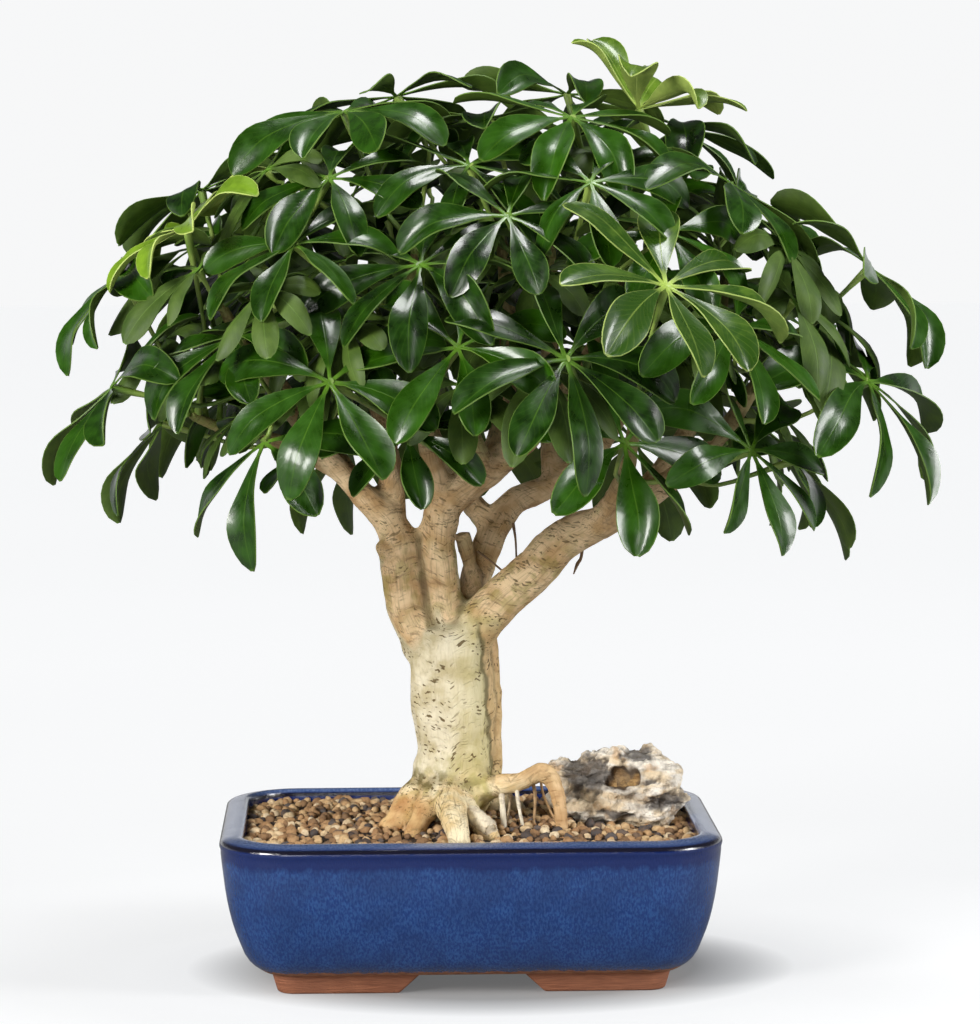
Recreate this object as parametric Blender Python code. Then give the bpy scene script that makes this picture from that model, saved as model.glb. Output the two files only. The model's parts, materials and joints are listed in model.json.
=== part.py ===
"""A dwarf umbrella tree grown as a bonsai, in a glazed rectangular pot with rounded corners.

The pot, the soil, the stone, the grown wood and every compound leaf are separate closed pieces.
Sizes below are in millimetres; a mesh is brought to metres when its object is made.
The tree stands at the pot's centre while it is built, and at the end everything is shifted so that
the origin is the middle of the bottom of the whole object's box.
"""

import math

import bmesh
import bpy
from mathutils import Matrix, Vector, noise
from mathutils.bvhtree import BVHTree

MM = 0.001

# Pot
POT_LENGTH = 200.0
POT_DEPTH = 150.0
POT_HEIGHT = 63.0
POT_CORNER = 30.0
FOOT_HEIGHT = 8.0
FOOT_LENGTH = 50.0
FOOT_DEPTH = 34.0
RIM_WIDTH = 9.6
FLOOR_THICKNESS = 6.0
DRAIN_RADIUS = 8.0
DRAIN_SPACING = 96.0

# Screens over the drain holes
SCREEN_SIDE = 30.0
SCREEN_THICKNESS = 0.8

# Soil
SOIL_BELOW_RIM = 5.0
SOIL_MOUND = 2.4

# Stone lying on the soil
STONE_LENGTH = 61.0
STONE_WIDTH = 34.0
STONE_HEIGHT = 37.0
STONE_SUNK = 5.0

# Grown wood
TRUNK_THICKNESS = 35.0
CROWN_SPREAD = 366.0
TREE_HEIGHT = 379.0

# Compound leaves
LEAFLET_LENGTH = 49.0
LEAFLET_WIDTH = 19.0
LEAFLET_THICKNESS = 1.0
HUB_RADIUS = 2.7
HUB_HEIGHT = 1.9
PETIOLE_RADIUS = 1.05
PETIOLE_FOOT_RADIUS = 1.35
SHORTEST_PETIOLE = 26.0
USUAL_PETIOLE = 62.0
LONGEST_PETIOLE = 110.0

# Clearances
GAP = 0.3
ROOT_GAP = 2.0
STONE_GAP = 0.8
LEAF_GAP = 0.45
FOOT_GAP = 0.9

# Sizes that the built-in proportions below were drawn for
DRAWN_POT = Vector((200.0, 150.0, 63.0))
DRAWN_TRUNK = 35.0
DRAWN_SPREAD = 376.0
DRAWN_HEIGHT = 388.0
DRAWN_SOIL = 58.0

SOIL_TOP = POT_HEIGHT - SOIL_BELOW_RIM
FLOOR_TOP = FOOT_HEIGHT + FLOOR_THICKNESS


# ---------------------------------------------------------------- scene helpers

def clear_scene():
    for obj in list(bpy.data.objects):
        bpy.data.objects.remove(obj)


def finish(name, color, roughness, metallic=0.0):
    material = bpy.data.materials.new(name)
    material.use_nodes = True
    shader = material.node_tree.nodes["Principled BSDF"]
    shader.inputs["Base Color"].default_value = (*color, 1.0)
    shader.inputs["Roughness"].default_value = roughness
    shader.inputs["Metallic"].default_value = metallic
    return material


def add_object(name, bm, material=None, smooth=True):
    """Turn a bmesh in millimetres into an object in metres."""
    bmesh.ops.recalc_face_normals(bm, faces=bm.faces)
    bmesh.ops.scale(bm, vec=(MM, MM, MM), verts=bm.verts)
    mesh = bpy.data.meshes.new(name)
    bm.to_mesh(mesh)
    bm.free()
    if smooth:
        mesh.shade_smooth()
        mesh.set_sharp_from_angle(angle=math.radians(40))
    obj = bpy.data.objects.new(name, mesh)
    bpy.context.collection.objects.link(obj)
    if material:
        mesh.materials.append(material)
    return obj


def as_cutter(obj):
    obj.hide_render = True
    obj.display_type = "WIRE"
    return obj


def boolean(obj, tool, operation="DIFFERENCE"):
    modifier = obj.modifiers.new(operation.lower(), "BOOLEAN")
    modifier.solver = "EXACT"
    modifier.operation = operation
    modifier.object = tool


def settle(obj):
    """Apply an object's modifiers, and keep its largest closed part."""
    graph = bpy.context.evaluated_depsgraph_get()
    graph.update()
    mesh = bpy.data.meshes.new_from_object(obj.evaluated_get(graph))
    obj.modifiers.clear()
    old = obj.data
    obj.data = mesh
    bpy.data.meshes.remove(old)
    bm = bmesh.new()
    bm.from_mesh(mesh)
    parts = loose_parts(bm)
    parts.sort(key=len)
    for part in parts[:-1]:
        bmesh.ops.delete(bm, geom=part, context="VERTS")
    bm.to_mesh(mesh)
    bm.free()
    return obj


def loose_parts(bm):
    seen = set()
    parts = []
    for start in bm.verts:
        if start in seen:
            continue
        stack = [start]
        part = []
        seen.add(start)
        while stack:
            vert = stack.pop()
            part.append(vert)
            for edge in vert.link_edges:
                other = edge.other_vert(vert)
                if other not in seen:
                    seen.add(other)
                    stack.append(other)
        parts.append(part)
    return parts


def decimate_to(obj, triangles):
    bm = bmesh.new()
    bm.from_mesh(obj.data)
    bmesh.ops.triangulate(bm, faces=bm.faces)
    count = len(bm.faces)
    bm.free()
    modifier = obj.modifiers.new("decimate", "DECIMATE")
    modifier.ratio = min(1.0, triangles / count)
    return settle(obj)


def millimetre_tree(obj):
    """A search tree over an object's faces, in millimetres."""
    verts = [v.co / MM for v in obj.data.vertices]
    faces = [tuple(p.vertices) for p in obj.data.polygons]
    return BVHTree.FromPolygons(verts, faces)


# ---------------------------------------------------------------- shapes

def rounded_rectangle(bm, half_x, half_y, corner, z, steps=8):
    corner = min(corner, 0.98 * half_x, 0.98 * half_y)
    ring = []
    for quarter, (sx, sy) in enumerate(((1, 1), (-1, 1), (-1, -1), (1, -1))):
        for step in range(steps + 1):
            angle = math.radians(90 * quarter + 90 * step / steps)
            x = sx * (half_x - corner) + corner * math.cos(angle)
            y = sy * (half_y - corner) + corner * math.sin(angle)
            ring.append(bm.verts.new((x, y, z)))
    return ring


def skin_rings(bm, rings):
    """Join rings of equal length, and close the first and the last."""
    for low, high in zip(rings, rings[1:]):
        count = len(low)
        for i in range(count):
            j = (i + 1) % count
            bm.faces.new((low[i], low[j], high[j], high[i]))
    bm.faces.new(list(reversed(rings[0])))
    bm.faces.new(rings[-1])


def smooth_route(points, per_span=4):
    """Points (x, y, z, radius) read from a Catmull-Rom curve through the given ones."""
    knots = [Vector(p) for p in points]
    knots = [2 * knots[0] - knots[1]] + knots + [2 * knots[-1] - knots[-2]]
    route = []
    for a, b, c, d in zip(knots, knots[1:], knots[2:], knots[3:]):
        for step in range(per_span):
            t = step / per_span
            route.append(
                0.5 * (2 * b + (c - a) * t + (2 * a - 5 * b + 4 * c - d) * t * t
                       + (3 * b - a - 3 * c + d) * t ** 3)
            )
    route.append(knots[-2])
    return route


def tube(bm, points, sides=12, grow=0.0):
    """A closed tube along a route, with a radius at each point, grown all round and at its ends."""
    route = smooth_route(points)
    centres = [p.to_3d() for p in route]
    centres[0] += (centres[0] - centres[1]).normalized() * grow
    centres[-1] += (centres[-1] - centres[-2]).normalized() * grow
    across = None
    rings = []
    for i, centre in enumerate(centres):
        ahead = centres[min(i + 1, len(centres) - 1)]
        behind = centres[max(i - 1, 0)]
        direction = (ahead - behind).normalized()
        if across is None:
            across = direction.orthogonal().normalized()
        across = (across - direction * across.dot(direction)).normalized()
        up = direction.cross(across)
        radius = max(route[i][3], 0.6) + grow
        ring = []
        for side in range(sides):
            angle = math.tau * side / sides
            place = centre + radius * (math.cos(angle) * across + math.sin(angle) * up)
            ring.append(bm.verts.new(place))
        rings.append(ring)
    skin_rings(bm, rings)


# ---------------------------------------------------------------- pot

def pot_ring(bm, inset, z):
    """A level ring of the pot, set in from its rim."""
    corner = max(POT_CORNER - 0.8 * inset, 6.0)
    return rounded_rectangle(bm, POT_LENGTH / 2 - inset, POT_DEPTH / 2 - inset, corner, z)


def wall_inset(z):
    """How far the pot's inner face is set in from the rim's edge at a height."""
    depth = max(POT_HEIGHT - z, 0.0) / (POT_HEIGHT - FLOOR_TOP)
    return RIM_WIDTH + 1.2 * depth + 12.0 * depth ** 4


def build_pot():
    body_height = POT_HEIGHT - FOOT_HEIGHT
    outside = [
        (19.5, 0.0), (16.2, 0.02), (13.2, 0.055), (10.2, 0.115), (7.6, 0.225),
        (4.9, 0.36), (2.9, 0.50), (1.5, 0.68), (0.6, 0.83),
    ]
    rim = [
        (0.2, -4.6), (0.0, -3.4), (0.8, -2.1), (2.6, -1.0), (5.2, -0.3),
        (RIM_WIDTH - 1.6, 0.0), (RIM_WIDTH - 0.5, -0.4),
    ]
    bm = bmesh.new()
    rings = [pot_ring(bm, inset, FOOT_HEIGHT + share * body_height) for inset, share in outside]
    rings += [pot_ring(bm, inset, POT_HEIGHT + drop) for inset, drop in rim]
    inner_steps = 7
    for step in range(1, inner_steps + 1):
        z = POT_HEIGHT - (POT_HEIGHT - FLOOR_TOP) * math.sin(math.pi / 2 * step / inner_steps)
        rings.append(pot_ring(bm, wall_inset(z), z))
    rings.append(pot_ring(bm, wall_inset(FLOOR_TOP) + 5.0, FLOOR_TOP - 0.4))
    skin_rings(bm, rings)
    pot = add_object("pot", bm, finish("pot", (0.032, 0.067, 0.19), 0.16))

    # Four feet are what is left of a band under the body when two channels cross it.
    base_inset = outside[0][0]
    bm = bmesh.new()
    band = [
        rounded_rectangle(bm, POT_LENGTH / 2 - base_inset - 3.5, POT_DEPTH / 2 - base_inset - 3.0,
                          12.0, 0.0),
        rounded_rectangle(bm, POT_LENGTH / 2 - base_inset - 0.8, POT_DEPTH / 2 - base_inset - 0.8,
                          13.0, FOOT_HEIGHT + 2.0),
    ]
    skin_rings(bm, band)
    feet = as_cutter(add_object("feet_band", bm))
    half_x = POT_LENGTH / 2 - base_inset - 3.5 - FOOT_LENGTH + 4.0
    half_y = POT_DEPTH / 2 - base_inset - 3.0 - FOOT_DEPTH + 4.0
    for name, half, turn in (("channel_y", half_x, 0.0), ("channel_x", half_y, math.pi / 2)):
        bm = bmesh.new()
        reach = POT_LENGTH
        low = -2.0
        high = FOOT_HEIGHT + 4.0
        slant = 1.05
        corners = [(-half, low), (half, low), (half - slant * (high - low), high),
                   (slant * (high - low) - half, high)]
        rings = [[bm.verts.new((x, y, z)) for x, z in corners] for y in (-reach, reach)]
        skin_rings(bm, rings)
        bmesh.ops.rotate(bm, verts=bm.verts, matrix=Matrix.Rotation(turn, 3, "Z"))
        boolean(feet, as_cutter(add_object(name, bm)))
    feet_mesh = bpy.data.meshes.new_from_object(
        feet.evaluated_get(bpy.context.evaluated_depsgraph_get()))
    feet.modifiers.clear()
    feet.data = feet_mesh
    boolean(pot, feet, "UNION")

    for side in (-1, 1):
        bm = bmesh.new()
        place = Matrix.Translation((side * DRAIN_SPACING / 2, 0, FLOOR_TOP / 2))
        bmesh.ops.create_cone(bm, segments=20, radius1=DRAIN_RADIUS, radius2=DRAIN_RADIUS,
                              depth=3 * FLOOR_TOP, cap_ends=True, matrix=place)
        boolean(pot, as_cutter(add_object("drain_cutter", bm)))
    return settle(pot)


def box(bm, size, centre):
    place = Matrix.Translation(centre) @ Matrix.Diagonal((*size, 1.0))
    bmesh.ops.create_cube(bm, size=1.0, matrix=place)


def build_screens():
    """A square of plastic mesh lies over each drain hole."""
    screens = []
    for name, side in (("drain_screen_left", -1), ("drain_screen_right", 1)):
        bm = bmesh.new()
        z = FLOOR_TOP + GAP + SCREEN_THICKNESS / 2
        box(bm, (SCREEN_SIDE, SCREEN_SIDE, SCREEN_THICKNESS), (side * DRAIN_SPACING / 2, 0, z))
        screens.append(add_object(name, bm, finish(name, (0.03, 0.03, 0.03), 0.6), smooth=False))
    return screens


# ---------------------------------------------------------------- wood

def root_point(x, y, z, radius):
    """Roots follow the pot's length and depth, and the soil's level."""
    thick = TRUNK_THICKNESS / DRAWN_TRUNK
    return (
        x * POT_LENGTH / DRAWN_POT.x,
        y * POT_DEPTH / DRAWN_POT.y,
        SOIL_TOP + (z - DRAWN_SOIL),
        radius * thick,
    )


def crown_point(x, y, z):
    """Branches and leaves follow the crown's spread and the tree's height."""
    rise = (TREE_HEIGHT - SOIL_TOP) / (DRAWN_HEIGHT - DRAWN_SOIL)
    spread = CROWN_SPREAD / DRAWN_SPREAD
    return Vector((x * spread, y * spread, SOIL_TOP + (z - DRAWN_SOIL) * rise))


def limb_point(x, y, z, radius):
    return (*crown_point(x, y, z), radius * TRUNK_THICKNESS / DRAWN_TRUNK)


TRUNK = [
    (-6, 0, 66, 15), (-6, 0, 75, 17.4), (-5.6, 0, 84, 16.2), (-5.4, 0, 94, 15.6),
    (-6.4, 0, 111, 17.3), (-6.8, 0, 128, 16.4), (-7, 0, 141, 14.0),
]
BACK_STEM = [(9, 3, 72, 6), (10, 6, 90, 5), (10, 8, 112, 4.6), (9, 9, 132, 4.6), (8, 9, 146, 4.2)]

ROOTS = {
    "heart": [(-6, 0, 74, 16), (-6, 0, 64, 13), (-6, 1, 53, 9), (-6, 2, 46, 5)],
    "front": [(-7, -7, 74, 9), (-8, -20, 72, 6.6), (-6.5, -36, 67, 5.8), (-5, -47, 62, 5.2),
              (-4.5, -56, 54, 4.2), (-4.5, -58, 48, 3)],
    "arch": [(0, -6, 76, 7), (9, -11, 76, 5.2), (21, -15, 78.5, 4.2), (29, -17.5, 83, 4.2),
             (33, -19, 81, 3.9), (36, -20.5, 73, 3.3), (37.5, -22, 61, 3.1), (37.5, -22, 50, 2.6)],
    "left": [(-14, -3, 75, 7.5), (-22, -7, 70, 7.4), (-31, -10, 58, 6), (-38, -12, 48, 3.6)],
    "front_left": [(-12, -9, 73, 6.5), (-20, -22, 64, 4.8), (-26, -32, 53, 3.4)],
    "stub": [(-3, -13, 71, 6), (0, -23, 67, 4.8), (7, -33, 61, 4.2), (9, -37, 57, 3.6)],
    "back_left": [(-9, 8, 74, 9), (-14, 22, 67, 7), (-21, 38, 57, 4.8), (-25, 47, 49, 3)],
    "back_right": [(3, 8, 73, 8), (14, 20, 65, 6), (25, 29, 55, 4.2), (31, 33, 49, 3)],
}

LIMBS = {
    "left": [(-13, 0, 128, 10), (-20, 0, 140, 9.2), (-25.5, -1, 152, 8.6), (-27.5, -2, 168, 8.8),
             (-30, -3, 183, 7.4), (-41, -4, 196, 5.6), (-54, -6, 210, 4.6), (-71, -10, 231, 3.8),
             (-89, -14, 256, 3.1), (-104, -17, 284, 2.4)],
    "left_low": [(-52, -6, 208, 4.2), (-76, 8, 219, 3.7), (-98, 10, 224, 3.0), (-116, 4, 232, 2.4)],
    "left_rise": [(-30, -2, 182, 6), (-31.5, 4, 203, 5.2), (-34, 12, 224, 4.4),
                  (-41, 16, 250, 3.8), (-47, 18, 284, 3.1), (-50, 16, 314, 2.4)],
    "left_back": [(-40, -3, 195, 4.6), (-60, 22, 220, 4.1), (-80, 36, 246, 3.4), (-92, 44, 280, 2.5)],
    "left_shoot": [(-30, -3, 172, 5), (-35, -9, 175, 3.4), (-37, -12, 179, 2.2)],
    "centre": [(-6, -1, 136, 10), (-9.5, -2, 152, 7.6), (-12, -4, 177, 7.4), (-10, -4, 193, 7.6),
               (0, -5, 202, 7.5), (12, -6, 212, 6.4), (25, -8, 222, 5.6), (31, -12, 238, 4.6),
               (34, -18, 258, 4.0), (35, -25, 282, 3.2), (33, -28, 310, 2.4)],
    "centre_rise": [(-10, -4, 194, 5.6), (-15, -12, 214, 4.6), (-20, -24, 240, 3.8),
                    (-24, -30, 268, 3.1), (-22, -32, 300, 2.4)],
    "centre_back": [(8, -4, 209, 5), (16, 14, 230, 4.5), (19, 28, 256, 3.9), (18, 36, 288, 3.2),
                    (14, 38, 320, 2.4)],
    "centre_right": [(23, -8, 220, 5), (42, 2, 240, 4.2), (57, 6, 266, 3.6), (66, 8, 296, 3.0),
                     (69, 6, 324, 2.4)],
    "centre_shoot": [(8, -8, 208, 5), (5, -20, 218, 3.8), (1, -34, 228, 2.6)],
    "right": [(-4, -1, 126, 11), (2, -3, 140, 10), (13, -6, 153, 9.2), (29, -8, 168, 9.2),
              (39, -10, 179, 8.6), (54, -10, 186, 7.2), (72, -11, 196, 6.2), (88, -14, 207, 4.8),
              (104, -18, 223, 4.0), (118, -20, 243, 3.3), (129, -20, 266, 2.4)],
    "right_front": [(53, -12, 187, 5), (61, -26, 200, 4.3), (65, -42, 216, 3.6), (67, -52, 238, 2.6)],
    "right_back": [(70, -8, 196, 5), (86, 8, 212, 4.5), (100, 18, 236, 3.8), (108, 22, 264, 3.2),
                   (110, 18, 294, 2.4)],
    "behind": [(0, 5, 140, 8), (3, 14, 158, 6.6), (11, 24, 178, 6.4), (21, 30, 192, 6.0),
               (38, 34, 199, 5.4), (56, 38, 213, 4.6), (71, 43, 236, 3.8), (79, 47, 264, 3.1),
               (82, 48, 296, 2.4)],
    "behind_up": [(38, 34, 199, 5), (37, 48, 222, 4.1), (37, 58, 250, 3.4), (40, 62, 284, 2.5)],
    "behind_left": [(12, 25, 180, 5.4), (-5, 39, 204, 4.4), (-18, 52, 232, 3.7), (-24, 58, 262, 3.1),
                    (-27, 58, 294, 2.4)],
    "aerial": [(-2, 4, 182, 3.8), (2, 7, 166, 3.3), (5, 8, 152, 3.3), (8, 8, 140, 4)],
}
WOOD_VOXEL = 1.5
WOOD_TRIANGLES = 3200
HOLLOW_TRIANGLES = 1200


def remeshed(obj, voxel, passes):
    modifier = obj.modifiers.new("remesh", "REMESH")
    modifier.mode = "VOXEL"
    modifier.voxel_size = voxel * MM
    modifier = obj.modifiers.new("smooth", "SMOOTH")
    modifier.factor = 0.5
    modifier.iterations = passes
    return settle(obj)


def build_wood():
    """Roots, trunk and branches grew as one piece."""
    bm = bmesh.new()
    tube(bm, [limb_point(*p) for p in TRUNK], sides=20)
    tube(bm, [limb_point(*p) for p in BACK_STEM])
    for points in ROOTS.values():
        tube(bm, [root_point(*p) for p in points])
    for points in LIMBS.values():
        tube(bm, [limb_point(*p) for p in points])
    wood = add_object("trunk", bm, finish("trunk", (0.53, 0.43, 0.26), 0.72))
    remeshed(wood, WOOD_VOXEL, 3)
    return decimate_to(wood, WOOD_TRIANGLES)


def root_hollow():
    """The space that the roots take up in the soil, a little wider than they are."""
    bm = bmesh.new()
    for points in ROOTS.values():
        tube(bm, [root_point(*p) for p in points], sides=10, grow=ROOT_GAP)
    hollow = as_cutter(add_object("root_hollow", bm))
    remeshed(hollow, WOOD_VOXEL, 1)
    return decimate_to(hollow, HOLLOW_TRIANGLES)


# ---------------------------------------------------------------- stone and soil

def stone_point(direction, grow=0.0):
    """The rugged, ledged surface of the stone in a direction from its middle."""
    rough = noise.fractal(direction * 1.7 + Vector((3.1, 0.4, 7.7)), 0.9, 2.1, 4) * 0.20
    ledge = 0.07 * math.sin(9.0 * direction.z + 2.5 * direction.x + 1.3 * direction.y)
    hollow = 0.30 * math.exp(-((direction - Vector((-0.12, -0.93, 0.30))).length / 0.42) ** 2)
    reach = 1.0 + rough + ledge - hollow
    half = Vector((STONE_LENGTH / 2, STONE_WIDTH / 2, STONE_HEIGHT / 2))
    place = Vector((direction.x * half.x, direction.y * half.y, direction.z * half.z)) * reach
    place.x += 0.12 * place.z
    return place + place.normalized() * grow


def build_stone(name, grow=0.0):
    bm = bmesh.new()
    bmesh.ops.create_icosphere(bm, subdivisions=4, radius=1.0)
    for vert in bm.verts:
        vert.co = stone_point(vert.co.normalized(), grow)
    turn = Matrix.Rotation(math.radians(-24), 3, "Z")
    bmesh.ops.rotate(bm, verts=bm.verts, matrix=turn)
    inner_half = POT_LENGTH / 2 - RIM_WIDTH
    place = (inner_half - STONE_LENGTH / 2 + 1.5, 3.0 * POT_DEPTH / DRAWN_POT.y,
             SOIL_TOP + STONE_HEIGHT / 2 - STONE_SUNK)
    bmesh.ops.translate(bm, verts=bm.verts, vec=place)
    return add_object(name, bm, finish(name, (0.52, 0.44, 0.35), 0.85))


def build_soil():
    """Granular soil fills the pot, mounded a little towards the trunk."""
    bm = bmesh.new()
    rings = []
    levels = 5
    bottom = FLOOR_TOP + GAP
    for level in range(levels + 1):
        z = bottom + (SOIL_TOP - bottom) * level / levels
        rings.append(pot_ring(bm, wall_inset(z) + GAP + (2.0 if level == 0 else 0.15), z))
    edge = [v.co.copy() for v in rings[-1]]
    for share in (0.86, 0.62, 0.36, 0.12):
        z = SOIL_TOP + SOIL_MOUND * (1 - share) ** 0.8
        rings.append([bm.verts.new((c.x * share, c.y * share, z)) for c in edge])
    skin_rings(bm, rings)
    soil = add_object("soil", bm, finish("soil", (0.30, 0.21, 0.13), 0.95))
    for side in (-1, 1):
        bm = bmesh.new()
        size = SCREEN_SIDE + 2 * GAP
        top = FLOOR_TOP + SCREEN_THICKNESS + 2 * GAP
        low = FLOOR_TOP - 2.0
        box(bm, (size, size, top - low), (side * DRAIN_SPACING / 2, 0, (top + low) / 2))
        boolean(soil, as_cutter(add_object("screen_recess", bm, smooth=False)))
    boolean(soil, root_hollow())
    boolean(soil, as_cutter(build_stone("stone_seat", STONE_GAP)))
    return settle(soil)


# ---------------------------------------------------------------- compound leaves

CROWN_HEART = (0.0, 0.0, 225.0)

# Each leaf: hub place x, y, z, leaflet length as a share of the usual, number of leaflets and,
# where a young leaf hasn't opened flat, how steeply its leaflets rise
LEAVES = {
    "left": [
        (-114, -24, 309, 0.86, 8, 0.45), (-110, 28, 324, 0.90, 7), (-143, 4, 290, 0.94, 7),
        (-145, -22, 244, 0.98, 7), (-94, -58, 266, 0.92, 8), (-82, -72, 225, 1.0, 9),
        (-127, 28, 226, 0.95, 7), (-70, -66, 303, 0.88, 7), (-112, 66, 288, 0.95, 7),
        (-100, 78, 240, 1.0, 7),
    ],
    "left_top": [
        (-50, -14, 356, 1.0, 8), (-34, 28, 360, 0.95, 7), (-64, 62, 340, 0.95, 7),
        (-56, -44, 329, 0.85, 7), (-84, 92, 312, 0.95, 7),
    ],
    "centre_top": [
        (10, 2, 354, 0.92, 7), (0, -46, 334, 0.9, 7), (42, -34, 346, 0.95, 8),
        (44, 34, 364, 0.9, 7), (-8, 66, 346, 0.95, 7), (38, 74, 338, 0.95, 7),
    ],
    "right_top": [
        (72, 2, 350, 0.92, 7, 1.1), (106, -30, 327, 1.0, 8), (92, 36, 350, 0.95, 7),
        (84, 76, 326, 0.95, 7), (122, 46, 314, 0.95, 7),
    ],
    "front": [
        (-20, -80, 295, 0.98, 8), (14, -76, 312, 0.85, 7), (-56, -98, 250, 1.0, 7),
        (-6, -100, 256, 0.9, 7), (-26, -88, 230, 0.7, 7), (35, -112, 252, 1.02, 8),
        (38, -78, 322, 0.85, 7), (66, -98, 287, 1.05, 8, 0.4), (60, -78, 224, 0.95, 7),
        (78, -76, 314, 0.8, 7), (103, -88, 270, 0.9, 7),
    ],
    "right": [
        (165, -22, 292, 1.0, 8), (162, -42, 246, 1.08, 8), (112, -64, 220, 0.9, 8),
        (132, 8, 268, 0.85, 7), (135, -6, 211, 1.0, 7), (150, 50, 262, 0.95, 7),
        (130, 62, 222, 0.95, 7),
    ],
    "back": [
        (-30, 108, 262, 1.0, 7), (12, 112, 296, 1.0, 7), (54, 108, 254, 1.0, 7),
        (-64, 104, 282, 0.95, 7), (10, 92, 226, 0.95, 7), (92, 98, 282, 0.95, 7),
        (-48, 84, 214, 0.95, 7), (76, 84, 214, 0.95, 7),
    ],
}


def leaf_facing(hub, number):
    """A compound leaf looks outwards from the crown's heart and up to the light."""
    outward = hub - crown_point(*CROWN_HEART)
    outward.x *= 0.62
    outward.z *= 0.5
    outward.normalize()
    lean = Vector((math.sin(2.1 * number), math.cos(1.7 * number), 0.0))
    return (outward + Vector((0, 0, 0.75)) + 0.2 * lean).normalized()


def leaflet_rings(start, heading, facing, length, droop, grow):
    """Corners of a leaflet: a narrow ring, a wide ring and the tip, bending down under its weight."""
    width = LEAFLET_WIDTH * length / LEAFLET_LENGTH
    place = start.copy()
    direction = heading.copy()
    rings = []
    at = 0.0
    for share, half in ((0.26, 0.26), (0.68, 0.5), (1.0, None)):
        step = share - at
        at = share
        direction = (direction - Vector((0, 0, droop * step)) - facing * 0.35 * droop * step)
        direction.normalize()
        place = place + direction * length * step
        if half is None:
            rings.append([place + direction * grow])
            continue
        side = direction.cross(facing).normalized()
        up = side.cross(direction).normalized()
        wide = side * (half * width + grow)
        thick = up * (LEAFLET_THICKNESS / 2 + grow)
        rings.append([place + wide + thick, place - wide + thick,
                      place - wide - thick, place + wide - thick])
    return rings


def hub_rings(hub, facing, start_angle, count):
    """The little boss where the leaflets meet the petiole: its upper and lower corners."""
    across = facing.orthogonal().normalized()
    along = facing.cross(across)
    upper = []
    lower = []
    for i in range(count):
        angle = start_angle + math.tau * i / count
        arm = HUB_RADIUS * (math.cos(angle) * across + math.sin(angle) * along)
        upper.append(hub + arm + facing * HUB_HEIGHT / 2)
        lower.append(hub + arm - facing * HUB_HEIGHT / 2)
    return upper, lower


def petiole_rings(hub, facing, foot, lower, grow=0.0):
    """The petiole leaves the hub's underside, bends once and ends at the twig."""
    count = len(lower)
    bend = (hub + foot) / 2 - facing * 0.12 * (hub - foot).length - Vector((0, 0, 2.0))
    rings = []
    for place, ahead, radius in (
            (bend, foot - hub, PETIOLE_RADIUS), (foot, foot - bend, PETIOLE_FOOT_RADIUS)):
        direction = ahead.normalized()
        across = lower[0] - hub
        across = (across - direction * across.dot(direction)).normalized()
        along = across.cross(direction)
        ring = []
        for i in range(count):
            angle = math.tau * i / count
            arm = math.cos(angle) * across + math.sin(angle) * along
            ring.append(place + arm * (radius + grow))
        rings.append(ring)
    return rings


def leaflet_tree(corners, rings):
    """A search tree over one leaflet's closed surface."""
    points = list(corners) + rings[0] + rings[1] + rings[2]
    faces = [(0, 3, 2, 1)]
    for low in (0, 4):
        for i in range(4):
            j = (i + 1) % 4
            faces.append((low + i, low + j, low + 4 + j, low + 4 + i))
    for i in range(4):
        faces.append((8 + i, 8 + (i + 1) % 4, 12))
    return BVHTree.FromPolygons(points, faces)


def petiole_tree(lower, rings):
    count = len(lower)
    points = list(lower) + rings[0] + rings[1]
    faces = []
    for low in (0, count):
        for i in range(count):
            j = (i + 1) % count
            faces.append((low + i, low + j, low + count + j, low + count + i))
    faces.append(tuple(range(2 * count, 3 * count)))
    return BVHTree.FromPolygons(points, faces)


def foot_candidates(wood_tree, hub, stations):
    """Places on the young stems where a petiole to this hub could start, best first.

    A petiole of the usual length that rises from a thin stem is best.
    """
    scored = []
    for centre, radius in stations:
        arm = hub - centre
        distance = arm.length
        if SHORTEST_PETIOLE < distance < LONGEST_PETIOLE:
            steep = arm.z / distance
            scored.append((abs(distance - USUAL_PETIOLE) - 26.0 * steep + 3.0 * radius, centre))
    scored.sort(key=lambda item: item[0])
    feet = []
    for _, centre in scored[:14]:
        found, normal, _, _ = wood_tree.ray_cast(hub, (centre - hub).normalized())
        if found is not None and (found - centre).length < 12.0:
            feet.append(found + (hub - found).normalized() * FOOT_GAP + normal * FOOT_GAP)
    return feet


def leaf_mesh(upper, lower, hub, facing, leaflets, petiole):
    """Join a hub, its leaflets and its petiole into one closed surface."""
    count = len(upper)
    bm = bmesh.new()
    top = [bm.verts.new(c) for c in upper]
    base = [bm.verts.new(c) for c in lower]
    crown = bm.verts.new(hub + facing * (HUB_HEIGHT / 2 + 0.7))
    for i in range(count):
        j = (i + 1) % count
        bm.faces.new((top[i], top[j], crown))
        ring = [top[i], top[j], base[j], base[i]]
        if i not in leaflets:
            bm.faces.new(ring)
            continue
        for corners in leaflets[i][:2]:
            following = [bm.verts.new(c) for c in corners]
            for a in range(4):
                b = (a + 1) % 4
                bm.faces.new((ring[a], ring[b], following[b], following[a]))
            ring = following
        tip = bm.verts.new(leaflets[i][2][0])
        for a in range(4):
            bm.faces.new((ring[a], ring[(a + 1) % 4], tip))
    ring = base
    for corners in petiole:
        following = [bm.verts.new(c) for c in corners]
        for a in range(count):
            b = (a + 1) % count
            bm.faces.new((ring[a], ring[b], following[b], following[a]))
        ring = following
    bm.faces.new(ring)
    return bm


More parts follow.
